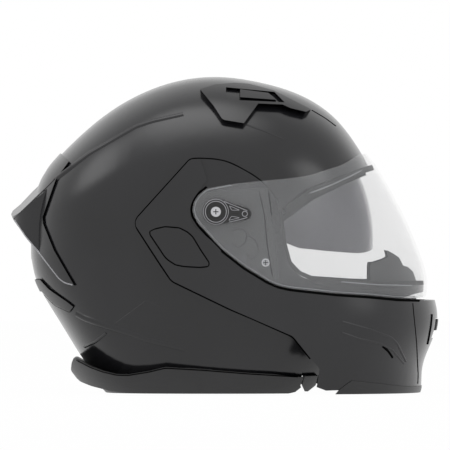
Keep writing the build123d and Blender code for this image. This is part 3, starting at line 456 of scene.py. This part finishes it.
@dataclass
class Pad:
    """A padded piece that stands for a soft CAD solid.

    Args:
        shop: The workshop.
        node: The CAD node it stands for.
        name: The piece's name.
        finish: Its finish.
        slot: The record's slot.
        voxel: Voxel of the remesh in metres.
        rounding: Passes of smoothing.
        swell: Most that a point moves outwards in the cloth run.
        fill: How full the pad is; not used.
        floor: Lowest Z that a point may take.
        pressure: Pressure inside the cover in the cloth run.
        frames: Frames of the cloth run.
    """

    shop: Workshop
    node: str
    name: str
    finish: str
    slot: str
    voxel: float = 0.0045
    rounding: int = 6
    swell: float = 0.003
    fill: float = 0.7
    floor: float = 0.0
    pressure: float = 4.0
    frames: int = 12

    def shaped(self) -> bpy.types.Mesh:
        """Remesh the solid and round its edges.

        Returns:
            The rounded mesh.
        """
        work = node_copy(self.node)
        steps = ({"type": "REMESH", "mode": "VOXEL", "voxel_size": self.voxel},
                 {"type": "SMOOTH", "factor": 0.5, "iterations": self.rounding})
        return finished(self.name, work, steps)

    def blown(self, mesh: bpy.types.Mesh) -> None:
        """Let the cover swell a little under pressure, each point no further than the cap.

        Args:
            mesh: The cover, changed in place.
        """
        holder = bpy.data.objects.new(self.name + "_cloth", mesh)
        bpy.context.collection.objects.link(holder)
        cloth = holder.modifiers.new("Cloth", "CLOTH")
        cloth.settings.use_pressure = True
        cloth.settings.uniform_pressure_force = self.pressure
        cloth.settings.effector_weights.gravity = 0.0
        cloth.point_cache.frame_start = 1
        cloth.point_cache.frame_end = self.frames
        scene = bpy.context.scene
        for step in range(1, self.frames + 1):
            scene.frame_set(step)
        graph = bpy.context.evaluated_depsgraph_get()
        swollen = holder.evaluated_get(graph).data
        for vertex, moved in zip(mesh.vertices, swollen.vertices):
            shift = moved.co - vertex.co
            if shift.length > self.swell:
                shift *= self.swell / shift.length
            vertex.co += shift
        scene.frame_set(1)
        bpy.data.objects.remove(holder)

    def build(self) -> bpy.types.Object:
        """Returns:
            The padded piece.
        """
        mesh = self.shaped()
        self.blown(mesh)
        for vertex in mesh.vertices:
            vertex.co.z = max(vertex.co.z, self.floor)
        work = bmesh.new()
        work.from_mesh(mesh)
        mesh = finished(self.name, work, ({"type": "SUBSURF", "levels": 1, "render_levels": 1},))
        piece = self.shop.piece(self.name, mesh, self.finish, "shell", self.slot)
        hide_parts(self.node)
        return piece


class Surface:
    """The surface of some objects, seen from a side or from the middle, to lay lines on."""

    def __init__(self, *objects: bpy.types.Object, from_middle: bool = False) -> None:
        """Keep a search tree over each object's faces.

        Args:
            objects: The objects, CAD nodes or pieces.
            from_middle: Whether the surface is the one that faces the middle plane.
        """
        graph = bpy.context.evaluated_depsgraph_get()
        self.trees = [BVHTree.FromObject(item, graph) for item in objects]
        self.from_middle = from_middle

    def under(self, point: SizePair, side: Side) -> Vector | None:
        """Find the first place on the surface at a point of the side view.

        Args:
            point: The point in the side view.
            side: The side of the helmet.

        Returns:
            The place, or None where the ray misses.
        """
        x, z = side_place(point)
        outside = -1.0 if self.from_middle else 1.0
        start = Vector((x, 0.0 if self.from_middle else side.value * RAY_REACH, z))
        hits = []
        for tree in self.trees:
            hit = tree.ray_cast(start, Vector((0.0, -side.value * outside, 0.0)), RAY_REACH)
            if hit[0] is not None:
                hits.append(hit[0])
        if not hits:
            return None
        return max(hits, key=lambda place: place.y * side.value * outside)


@dataclass
class SurfaceLine:
    """A round bead laid half sunk in the surface: a crease, a seam or a gasket edge.

    Args:
        shop: The workshop.
        name: The piece's name, without its side.
        surface: What it lies on.
        points: Its course in the side view.
        radius: Half its width in metres.
        sink: How far its middle lies under the surface.
        finish: Its finish.
        body: The body it rides on.
        slot: The record's slot.
        spacing_px: Distance between points of its course, in points of the side view.
    """

    shop: Workshop
    name: str
    surface: Surface
    points: Points
    radius: float
    sink: float
    finish: str
    body: str
    slot: str
    spacing_px: float = 4.0

    def course(self, side: Side) -> list[Vector]:
        """Follow the surface along the line.

        Args:
            side: The side of the helmet.

        Returns:
            The places on the course that the surface holds.
        """
        places = []
        for first, last in zip(self.points, self.points[1:]):
            length = math.dist(first, last)
            count = max(1, round(length / self.spacing_px))
            for index in range(count):
                share = index / count
                point = (first[0] + (last[0] - first[0]) * share, first[1] + (last[1] - first[1]) * share)
                places.append(self.surface.under(point, side))
        places.append(self.surface.under(self.points[-1], side))
        sink = -self.sink if self.surface.from_middle else self.sink
        return [place - Vector((0.0, side.value * sink, 0.0)) for place in places if place is not None]

    def build(self) -> None:
        """Lay the bead on both sides."""
        for side in Side:
            curve = bpy.data.curves.new(self.name, "CURVE")
            curve.dimensions = "3D"
            curve.bevel_depth = self.radius
            curve.bevel_resolution = 3
            curve.use_fill_caps = True
            places = self.course(side)
            spline = curve.splines.new("NURBS")
            spline.points.add(len(places) - 1)
            for point, place in zip(spline.points, places):
                point.co = (*place, 1.0)
            spline.order_u = 3
            spline.use_endpoint_u = True
            spline.resolution_u = 2
            holder = bpy.data.objects.new(self.name, curve)
            bpy.context.collection.objects.link(holder)
            graph = bpy.context.evaluated_depsgraph_get()
            mesh = bpy.data.meshes.new_from_object(holder.evaluated_get(graph))
            bpy.data.objects.remove(holder)
            name = self.name + "_" + side.name.lower()
            self.shop.piece(name, mesh, self.finish, self.body, self.slot)


@dataclass
class ChinStrap:
    """The two webbings of the chin strap.

    Args:
        shop: The workshop.
        run: Y and Z of the webbing's course on the left side.
        front: X of its front edge.
        width: Its width.
        wall: Thickness of the strap that it stands for.
        fill: Share of that thickness that the webbing takes.
        edge: Rounding of its edges.
    """

    shop: Workshop
    run: Points = field(default_factory=lambda: [
        (0.0810, 0.1010), (0.0800, 0.0840), (0.0720, 0.0600), (0.0580, 0.0330), (0.0380, 0.0150),
        (0.0170, 0.0105),
    ])
    front: float = -0.010876
    width: float = 0.022
    wall: float = 0.0018
    fill: float = 0.8
    edge: float = 0.0004

    def webbing(self, side: Side) -> bmesh.types.BMesh:
        """Draw the ribbon out along its run.

        Args:
            side: The side of the helmet.

        Returns:
            The ribbon, one face thick.
        """
        work = bmesh.new()
        y, z = self.run[0]
        front = work.verts.new((self.front, y * side.value, z))
        back = work.verts.new((self.front - self.width, y * side.value, z))
        edges = [work.edges.new((front, back))]
        for (y0, z0), (y1, z1) in zip(self.run, self.run[1:]):
            grown = bmesh.ops.extrude_edge_only(work, edges=edges)["geom"]
            verts = [item for item in grown if isinstance(item, bmesh.types.BMVert)]
            edges = [item for item in grown if isinstance(item, bmesh.types.BMEdge)]
            shift = (0.0, (y1 - y0) * side.value, z1 - z0)
            bmesh.ops.translate(work, verts=verts, vec=shift)
            edges = [edge for edge in edges if all(vert in verts for vert in edge.verts)]
        bmesh.ops.recalc_face_normals(work, faces=work.faces)
        return work

    def build(self) -> None:
        """Make both webbings."""
        for side in Side:
            name = "chin_strap_webbing_" + side.name.lower()
            steps = ({"type": "SUBSURF", "levels": 3, "render_levels": 3},
                     {"type": "SOLIDIFY", "thickness": self.wall * self.fill, "offset": 0.0},
                     {"type": "BEVEL", "width": self.edge, "segments": 2})
            mesh = finished(name, self.webbing(side), steps)
            piece = self.shop.piece(name, mesh, WEBBING.name, "shell", "webbing")
            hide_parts("chin_strap_" + side.name.lower())


@dataclass
class Lining:
    """Everything soft inside the shell.

    Args:
        shop: The workshop.
        thread_radius: Half the width of a thread.
        thread_sink: How far a thread's middle lies in the fabric.
    """

    shop: Workshop
    thread_radius: float = 0.0005
    thread_sink: float = 0.0002

    def stitch(self, name: str, surface: Surface, points: Points) -> None:
        """Sew one thread on both sides.

        Args:
            name: The piece's name, without its side.
            surface: The fabric.
            points: Its course in the side view.
        """
        SurfaceLine(self.shop, name, surface, points, self.thread_radius, self.thread_sink, THREAD.name,
                    "shell", "lining").build()

    def build(self) -> None:
        """Make the pads and the threads sewn on them."""
        crown = Pad(self.shop, "crown_pad", "crown_lining", KNIT.name, "lining").build()
        cheeks = [Pad(self.shop, "cheek_pad_" + side, "cheek_cushion_" + side, KNIT.name, "lining",
                      rounding=10, swell=0.004, fill=0.8).build() for side in ("left", "right")]
        sewn = Surface(*cheeks, from_middle=True)
        self.stitch("cheek_stitch", sewn, [
            (231, 266), (243, 261), (266, 264), (276, 281), (290, 309), (300, 341), (301, 357), (296, 368),
            (240, 366), (231, 266)])
        self.stitch("cheek_panel_stitch", sewn, [
            (246, 272), (262, 274), (277, 306), (287, 342), (284, 357), (248, 355), (246, 272)])
        dome = Surface(crown, from_middle=True)
        self.stitch("crown_hem_stitch", dome, [(92, 196), (140, 190), (200, 178), (262, 166), (312, 158)])
        self.stitch("crown_panel_stitch", dome, [(112, 165), (160, 140), (215, 132), (262, 138), (300, 150)])
        Pad(self.shop, "neck_roll", "neck_roll_cover", KNIT.name, "lining", rounding=8).build()


@dataclass
class PivotDetail:
    """Rings round the pivot on both sides.

    Args:
        shop: The workshop.
        centre: The pivot in the side view.
        face: Distance of the hub's face from the middle plane.
        tube_segments: Segments round a ring's bead.
        ring_segments: Segments round a ring.
    """

    shop: Workshop
    centre: SizePair = (216.0, 212.0)
    face: float = 0.1275
    tube_segments: int = 10
    ring_segments: int = 64

    def ring(self, name: str, radius: float, tube: float, depth: float, finish: str, body: str) -> None:
        """Add a round bead about the pivot on both sides.

        Args:
            name: The piece's name, without its side.
            radius: Radius of the ring.
            tube: Half the bead's width.
            depth: How far the ring's middle stands outside the hub's face.
            finish: Its finish.
            body: The body it rides on.
        """
        x, z = side_place(self.centre)
        for side in Side:
            work = bmesh.new()
            made = bmesh.ops.create_circle(work, cap_ends=False, radius=tube, segments=self.tube_segments)
            bmesh.ops.translate(work, verts=made["verts"], vec=(radius, 0.0, 0.0))
            bmesh.ops.rotate(work, verts=work.verts, cent=(radius, 0.0, 0.0),
                             matrix=Matrix.Rotation(math.pi / 2, 3, "X"))
            bmesh.ops.spin(work, geom=work.verts[:] + work.edges[:], cent=(0.0, 0.0, 0.0),
                           axis=(0.0, 0.0, 1.0), angle=2 * math.pi, steps=self.ring_segments, use_merge=True)
            bmesh.ops.remove_doubles(work, verts=work.verts, dist=MERGE_DISTANCE)
            bmesh.ops.rotate(work, verts=work.verts, cent=(0.0, 0.0, 0.0),
                             matrix=Matrix.Rotation(math.pi / 2, 3, "X"))
            bmesh.ops.translate(work, verts=work.verts, vec=(x, side.value * (self.face + depth), z))
            bmesh.ops.recalc_face_normals(work, faces=work.faces)
            full = name + "_" + side.name.lower()
            self.shop.piece(full, finished(full, work, ()), finish, body, "trim_matte")

    def build(self) -> None:
        """Add the rings of the hub and the cap."""
        self.ring("hub_rim_ring", 0.0068, 0.00035, 0.0, TRIM.name, "chin_bar")
        self.ring("hub_groove_ring", 0.0052, 0.0003, 0.0, RUBBER.name, "chin_bar")
        self.ring("cap_edge_ring", 0.0098, 0.0003, 0.0004, MOULDED.name, "visor")


@dataclass
class Stage:
    """Floor, world, lamps and camera.

    Args:
        distance: Distance of the camera from the middle plane.
        sensor: Width of the camera's sensor in millimetres.
        floor_size: Half the floor's side.
        floor_drop: How far the floor lies under the helmet.
        floor_white: How white the floor is to the camera, which leaves the helmet's shadow.
        world_light: Strength of the world where it lights.
        lamp_fade: Distances from a lamp's middle between which it fades, as shares of its side.
        lamp_peak: Strength in a lamp's middle.
        lamp_target: Where the lamps look.
        lamps: Name, place, size and power in watts of each lamp.
    """

    distance: float = 8.0
    sensor: float = 36.0
    floor_size: float = 6.0
    floor_drop: float = 0.0002
    floor_white: float = 0.985
    world_light: float = 0.55
    lamp_fade: SizePair = (0.05, 0.5)
    lamp_peak: float = 2.6
    lamp_target: tuple[float, float, float] = (0.0, 0.0, 0.13)
    lamps: tuple[tuple[str, tuple[float, float, float], SizePair, float], ...] = (
        ("top_softbox", (-0.3, -0.5, 1.9), (2.6, 2.2), 15.0),
        ("front_softbox", (1.7, -1.3, 0.9), (2.0, 2.0), 8.0),
        ("rear_softbox", (-1.6, -0.4, 1.3), (1.9, 1.9), 8.0),
    )

    def white_floor(self) -> None:
        """Lay the pale floor, white to the camera but for the helmet's shadow."""
        work = bmesh.new()
        bmesh.ops.create_grid(work, x_segments=1, y_segments=1, size=self.floor_size)
        bmesh.ops.translate(work, verts=work.verts, vec=(0.0, 0.0, -self.floor_drop))
        mesh = bpy.data.meshes.new("floor")
        work.to_mesh(mesh)
        work.free()
        floor = bpy.data.objects.new("floor", mesh)
        bpy.context.collection.objects.link(floor)
        material = bpy.data.materials.new("pale_floor")
        material.use_nodes = True
        tree = material.node_tree
        shader = tree.nodes["Principled BSDF"]
        shader.inputs["Base Color"].default_value = (0.8, 0.8, 0.8, 1.0)
        shader.inputs["Roughness"].default_value = 0.8
        glow = add_node(tree, "ShaderNodeEmission")
        glow.inputs["Strength"].default_value = 1.0
        mix = add_node(tree, "ShaderNodeMixShader")
        tree.links.new(self.seen_rays(tree, self.floor_white), mix.inputs["Fac"])
        tree.links.new(shader.outputs["BSDF"], mix.inputs[1])
        tree.links.new(glow.outputs["Emission"], mix.inputs[2])
        tree.links.new(mix.outputs["Shader"], tree.nodes["Material Output"].inputs["Surface"])
        mesh.materials.append(material)

    @staticmethod
    def seen_rays(tree: bpy.types.NodeTree, weight: float) -> bpy.types.NodeSocket:
        """Mask the rays that see the background: camera, glossy and transmission rays.

        Args:
            tree: The tree that takes the nodes.
            weight: Value of the mask for those rays.

        Returns:
            The mask's socket.
        """
        path = add_node(tree, "ShaderNodeLightPath")
        first = add_node(tree, "ShaderNodeMath", operation="MAXIMUM")
        second = add_node(tree, "ShaderNodeMath", operation="MAXIMUM")
        scaled = add_node(tree, "ShaderNodeMath", operation="MULTIPLY")
        scaled.inputs[1].default_value = weight
        tree.links.new(path.outputs["Is Camera Ray"], first.inputs[0])
        tree.links.new(path.outputs["Is Glossy Ray"], first.inputs[1])
        tree.links.new(first.outputs[0], second.inputs[0])
        tree.links.new(path.outputs["Is Transmission Ray"], second.inputs[1])
        tree.links.new(second.outputs[0], scaled.inputs[0])
        return scaled.outputs[0]

    def white_world(self) -> None:
        """Make the world white where it is seen and softer where it lights."""
        world = bpy.data.worlds.new("white_studio")
        bpy.context.scene.world = world
        world.use_nodes = True
        tree = world.node_tree
        light = tree.nodes["Background"]
        light.inputs["Color"].default_value = (1.0, 1.0, 1.0, 1.0)
        light.inputs["Strength"].default_value = self.world_light
        white = add_node(tree, "ShaderNodeBackground")
        white.inputs["Color"].default_value = (1.0, 1.0, 1.0, 1.0)
        white.inputs["Strength"].default_value = 1.0
        mix = add_node(tree, "ShaderNodeMixShader")
        tree.links.new(self.seen_rays(tree, 1.0), mix.inputs["Fac"])
        tree.links.new(light.outputs["Background"], mix.inputs[1])
        tree.links.new(white.outputs["Background"], mix.inputs[2])
        tree.links.new(mix.outputs["Shader"], tree.nodes["World Output"].inputs["Surface"])

    def lamp(self, name: str, place: tuple[float, float, float], size: SizePair, power: float) -> None:
        """Hang a soft lamp, brighter in its middle, that looks at the helmet.

        Args:
            name: The lamp's name.
            place: Where it hangs.
            size: Its width and height.
            power: Its power in watts.
        """
        light = bpy.data.lights.new(name, "AREA")
        light.shape = "RECTANGLE"
        light.size, light.size_y = size
        light.energy = power
        light.use_nodes = True
        tree = light.node_tree
        place_on_lamp = add_node(tree, "ShaderNodeNewGeometry")
        from_middle = add_node(tree, "ShaderNodeVectorMath", operation="DISTANCE")
        from_middle.inputs[1].default_value = (0.5, 0.5, 0.0)
        fade = add_node(tree, "ShaderNodeMapRange", interpolation_type="SMOOTHERSTEP")
        fade.inputs["From Min"].default_value = self.lamp_fade[0]
        fade.inputs["From Max"].default_value = self.lamp_fade[1]
        fade.inputs["To Min"].default_value = self.lamp_peak
        fade.inputs["To Max"].default_value = 0.0
        tree.links.new(place_on_lamp.outputs["Parametric"], from_middle.inputs[0])
        tree.links.new(from_middle.outputs["Value"], fade.inputs["Value"])
        tree.links.new(fade.outputs["Result"], tree.nodes["Emission"].inputs["Strength"])
        holder = bpy.data.objects.new(name, light)
        holder.location = place
        look = Vector(self.lamp_target) - Vector(place)
        holder.rotation_euler = look.to_track_quat("-Z", "Y").to_euler()
        bpy.context.collection.objects.link(holder)

    def camera(self) -> None:
        """Set the camera square to the right side, far off as with a long lens."""
        data = bpy.data.cameras.new("side_camera")
        data.sensor_width = self.sensor
        data.lens = self.sensor * self.distance / (FRAME_PX * UNIT)
        data.clip_end = 100.0
        camera = bpy.data.objects.new("side_camera", data)
        middle = side_place((FRAME_PX / 2, FRAME_PX / 2))
        camera.location = (middle[0], -self.distance, middle[1])
        camera.rotation_euler = (math.pi / 2, 0.0, 0.0)
        bpy.context.collection.objects.link(camera)
        bpy.context.scene.camera = camera

    def build(self) -> None:
        """Set the whole stage."""
        self.white_floor()
        self.white_world()
        for settings in self.lamps:
            self.lamp(*settings)
        self.camera()
        bpy.context.scene.view_settings.view_transform = "Standard"


def circle_points(centre: SizePair, radius: float, count: int = 28) -> Points:
    """Give points round a circle of the side view, back to the first.

    Args:
        centre: The circle's middle.
        radius: Its radius in points of the side view.
        count: How many points.

    Returns:
        The points.
    """
    angles = [2 * math.pi * index / count for index in range(count + 1)]
    return [(centre[0] + radius * math.cos(angle), centre[1] + radius * math.sin(angle)) for angle in angles]


@dataclass
class SeamWork:
    """The creases, seams, gasket edges and ribs that show in the side view.

    Args:
        shop: The workshop.
    """

    shop: Workshop

    def line(self, name: str, surface: Surface, points: Points, width: float, sink: float,
             finish: str, body: str, slot: str, spacing: float = 4.0) -> None:
        """Lay one bead on both sides.

        Args:
            name: The piece's name, without its side.
            surface: What it lies on.
            points: Its course in the side view.
            width: Its width in millimetres.
            sink: How far its middle lies under the surface, in millimetres.
            finish: Its finish.
            body: The body it rides on.
            slot: The record's slot.
            spacing: Distance between points of its course, in points of the side view.
        """
        SurfaceLine(self.shop, name, surface, points, width / 2000, sink / 1000, finish, body, slot,
                    spacing).build()

    def shell_lines(self) -> None:
        """Lay the shell's creases and the seam round the chin bar. The seams, the spoiler's joint, the rear
        vent's edge, the crown panel line and the collar seam are near-black beads of painted shade in their
        gaps; the spoiler's lower crease is a pale grey painted highlight.
        """
        shell = Surface(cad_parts["outer_shell"])
        spoiler = Surface(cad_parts["rear_spoiler"])
        gloss = (LACQUER.name, "shell", "shell_gloss")
        # Pale grey bead on the gloss shell: a painted highlight along the spoiler's lower crease.
        edge = (PALE_HIGHLIGHT.name, "shell", "shell_gloss")
        # Near-black beads: painted shade in the gaps round the chin bar's arm, at the spoiler's joint, the rear
        # vent's edge, the crown panel line and the collar seam.
        dark = (SEAM_SHADE.name, "shell", "rubber_seal")
        self.line("shell_shoulder_crease", shell,
                  [(57, 181), (92, 155), (138, 129), (153, 124), (184, 117)], 6.0, 2.5, *gloss)
        self.line("shell_lower_crease", shell,
                  [(80, 312), (87, 316), (106, 323), (130, 330), (149, 337), (186, 346)], 8.0, 3.3, *gloss)
        self.line("shell_side_crease", shell, [(160, 303), (147.5, 299.8), (133, 311), (118, 322)],
                  3.0, 1.2, *gloss)
        self.line("shell_rear_crease", shell, [(108, 331.5), (97, 340.5), (86, 345.5)], 3.0, 1.2, *gloss)
        self.line("arm_upper_seam", shell, [
            (137.0, 223.5), (137.0, 220.5), (139.0, 217.0), (186.8, 164.2), (189.3, 161.3), (192.5, 159.7),
            (200.0, 159.4), (213.0, 160.0), (222.5, 161.5), (230.0, 163.8), (237.0, 167.1), (252.0, 175.5),
            (260.0, 181.2), (269.5, 190.5), (277.0, 201.7), (280.5, 214.0)], 1.6, 0.2, *dark)
        self.line("arm_lower_seam", shell, [
            (137.0, 223.5), (137.3, 227.0), (151.3, 248.9), (161.6, 264.6), (171.2, 278.8), (174.3, 281.4),
            (229.8, 308.2), (249.8, 316.6), (290.4, 334.7), (293.0, 337.0), (309.0, 357.0)],
            1.6, 0.2, *dark)
        self.line("spoiler_lower_crease", spoiler, [
            (16, 220), (27, 236.2), (38, 249.2), (60.4, 277.6), (66, 282), (74.5, 284.2)], 1.4, 0.5, *edge)
        self.line("spoiler_crest_crease", spoiler, [(56, 180), (43, 192.5), (28, 207), (15.5, 218.6)],
                  1.6, 0.6, *gloss)
        self.line("spoiler_joint", shell, [
            (58.0, 180.5), (51.5, 198.5), (45.0, 219.0), (45.0, 222.7), (56.8, 249.6), (77.2, 284.5)],
            0.6, 0.1, *dark)
        self.line("rear_vent_edge", shell, [
            (43, 277.5), (55, 289), (69.0, 300.0), (76.0, 306.0), (71.5, 312.0), (56.0, 305.2), (45, 295)],
            0.5, 0.1, *dark)
        self.line("crown_panel_line", shell, [(311, 111), (324, 118.6), (335, 126.6)], 1.0, 0.2, *dark)
        collar = Surface(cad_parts["edge_trim"])
        self.line("collar_seam", collar, [
            (78, 359.2), (92, 366.2), (104.6, 370.6), (117.4, 373.5), (129, 373.8), (149, 370.5), (166, 366.4),
            (203.5, 368.5), (246.5, 372), (272, 373.6), (301, 375.6)], 1.1, 0.1, *dark)
        self.line("crown_front_crease", shell, [(245.4, 126.5), (264, 133), (283, 141)], 2.4, 1.0, *gloss)

    def chin_lines(self) -> None:
        """Lay the sculpted creases of the chin bar, its cover's joint and the gasket under the visor; the
        joint, the panel line, the vent band, the slot and the gasket line are near-black beads of painted shade
        in their gaps.
        """
        chin = Surface(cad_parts["chin_bar"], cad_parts["mouth_panel"])
        gloss = (LACQUER.name, "chin_bar", "shell_gloss")
        # Near-black beads: painted shade in the gaps and the slot of the chin bar and along the visor's resting
        # edge.
        dark = (SEAM_SHADE.name, "chin_bar", "rubber_seal")
        self.line("chin_upper_crease", chin,
                  [(340, 320), (368, 328), (389, 336), (395, 342), (404, 360)], 2.4, 0.8, *gloss)
        self.line("chin_lower_crease", chin,
                  [(340, 331), (357, 337), (375, 341), (390, 348), (402, 362)], 2.4, 0.8, *gloss)
        self.line("chin_panel_line", chin, [
            (410.9, 302.5), (412.3, 317.5), (415.0, 342.0), (417.3, 374.4), (416.8, 383.0)], 1.0, 0.2, *dark)
        self.line("chin_vent_band", chin, [(430.5, 314), (429.5, 325), (426.5, 343)], 2.2, 0.5, *dark)
        self.line("chin_slot", chin, [(380.7, 345), (386, 349.5), (390.5, 356)], 2.2, 0.5, *dark)
        self.line("cover_joint", chin, [
            (151.0, 231.5), (155.5, 229.0), (166.0, 226.6), (180.0, 227.8), (187.8, 231.7), (193.3, 236.6),
            (200.8, 249.1), (209.5, 262.3), (208.8, 265.9), (200.2, 266.8), (184.8, 265.9), (176.3, 264.3),
            (169.0, 259.6), (165.8, 256.5), (151.0, 234.4), (151.0, 231.5)], 1.2, 0.1, *dark)
        self.line("visor_rest_gasket", chin, [
            (207.0, 187.5), (199.0, 193.6), (193.2, 201.8), (191.7, 209.3), (193.0, 216.9), (198.4, 225.6),
            (212.0, 240.4), (221.0, 250.2), (243.0, 267.4), (266.5, 281.8), (277.7, 286.6), (289.8, 289.2),
            (335.0, 294.2), (368.0, 296.5), (396.0, 299.3), (417.0, 300.0)], 2.4, 0.6, *dark)

    def visor_lines(self) -> None:
        """Lay the edge and the bends of the visor: beads on the visor's real edge and bends, coloured pale grey
        as painted highlights.
        """
        shield = Surface(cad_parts["visor"])
        # Pale grey beads: painted highlights along the visor's edge and bends.
        clear = (VISOR_HIGHLIGHT.name, "visor", "clear_visor")
        self.line("visor_edge", shield, [
            (231.7, 185.9), (208.5, 190.1), (201.2, 195.6), (196.0, 203.0), (194.8, 209.3), (196.1, 215.9),
            (200.9, 223.6), (214.2, 238.2), (223.1, 247.8), (244.7, 264.6), (267.6, 278.8), (278.2, 283.5),
            (290.1, 286.0), (335.0, 290.9), (368.0, 293.2), (396.0, 296.0), (416.0, 296.7)],
            0.7, 0.2, *clear)
        self.line("visor_bend", shield, [(309, 193.5), (330, 185.5), (349, 176.7), (360, 171)], 1.0, 0.3,
                  *clear)
        self.line("visor_foot_bend", shield, [(340, 281), (375, 284), (410, 285)], 1.0, 0.3, *clear)

    def pivot_lines(self) -> None:
        """Lay the rims and cells of the teardrop caps in pale grey as painted highlights, and the screw slots
        and the ribs of the base plates near-black as painted shade.
        """
        cap = Surface(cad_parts["visor_cap_left"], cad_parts["visor_cap_right"])
        # Pale grey beads on the satin black caps: painted highlights on their rims, edges and cells.
        pale = (PALE_HIGHLIGHT.name, "visor", "trim_matte")
        self.line("cap_outer_rim", cap, circle_points((216, 212), 12.3), 0.7, 0.1, *pale, 3.0)
        self.line("cap_inner_rim", cap, circle_points((216, 212), 10.4), 0.7, 0.1, *pale, 3.0)
        self.line("cap_tip_rim", cap, circle_points((244.5, 214), 2.6, 16), 0.6, 0.1, *pale, 1.0)
        self.line("cap_upper_edge", cap, [(224, 201.8), (229, 203.8), (240, 208.2), (247, 211)],
                  0.6, 0.1, *pale)
        self.line("cap_lower_edge", cap, [(224, 223.4), (229, 222.2), (240, 219.6), (247, 217.6)],
                  0.6, 0.1, *pale)
        self.line("cap_upper_cell", cap, [(229.4, 206.2), (239.5, 210.4), (231.5, 210.4), (229.4, 206.2)],
                  0.5, 0.1, *pale, 2.0)
        self.line("cap_lower_cell", cap, [(228.8, 220.4), (239.5, 217.8), (231.2, 216.4), (228.8, 220.4)],
                  0.5, 0.1, *pale, 2.0)
        self.line("cap_middle_slot", cap, [(231.5, 213.5), (238.5, 213.7)], 1.0, 0.2, RUBBER.name, "visor",
                  "rubber_seal", 2.0)
        screws = Surface(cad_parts["hub_screws"])
        # Near-black beads: painted shade in the screw heads' slots.
        cross = (SEAM_SHADE.name, "chin_bar", "steel")
        self.line("hub_screw_slot", screws, [(213.4, 212), (216, 212), (218.6, 212)], 1.0, 0.3, *cross, 1.0)
        self.line("hub_screw_cross_slot", screws, [(216, 209.4), (216, 212), (216, 214.6)], 1.0, 0.3,
                  *cross, 1.0)
        rivets = Surface(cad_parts["base_plate_rivets"])
        bright = (STEEL.name, "chin_bar", "steel", 1.0)
        self.line("plate_screw_rim", rivets, circle_points((265, 262), 3.4, 20), 1.4, 0.45, *bright)
        self.line("plate_screw_face", rivets, circle_points((265, 262), 1.5, 14), 2.6, 1.1, *bright)
        self.line("plate_screw_slot", rivets, [(262.6, 262), (265, 262), (267.4, 262)], 0.9, 0.0, *cross, 1.0)
        self.line("plate_screw_cross_slot", rivets, [(265, 259.6), (265, 262), (265, 264.4)], 0.9, 0.0,
                  *cross, 1.0)
        plate = Surface(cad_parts["base_plate_left"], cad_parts["base_plate_right"])
        # Near-black beads: painted shade along the plate's ribs and round its spring and detent.
        dark = (SEAM_SHADE.name, "chin_bar", "trim_matte")
        self.line("plate_rear_rib", plate, [(259, 193), (264, 216), (266.5, 243), (269.5, 264), (272, 275)],
                  0.9, 0.1, *dark)
        self.line("plate_front_rib", plate, [(268, 193), (271, 216), (275, 243), (277, 264), (278.6, 275)],
                  0.9, 0.1, *dark)
        self.line("plate_spring_outline", plate, [
            (231, 231), (241, 228), (247, 233), (245, 243), (238, 247.5), (232, 243)], 0.7, 0.1, *dark)
        self.line("plate_detent_outline", plate, [
            (248, 236), (254, 239), (258, 247), (257, 255), (250, 259), (246, 253)], 0.7, 0.1, *dark)


def main() -> None:
    """Build the helmet's soft goods, details and stage, and report each piece."""
    logging.basicConfig(level=logging.INFO, format="%(message)s")
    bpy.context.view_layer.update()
    shop = Workshop()
    shop.dress_nodes()
    Lining(shop).build()
    ChinStrap(shop).build()
    PivotDetail(shop).build()
    seams = SeamWork(shop)
    seams.shell_lines()
    seams.chin_lines()
    seams.visor_lines()
    seams.pivot_lines()
    Stage().build()


if __name__ == "__main__":
    main()
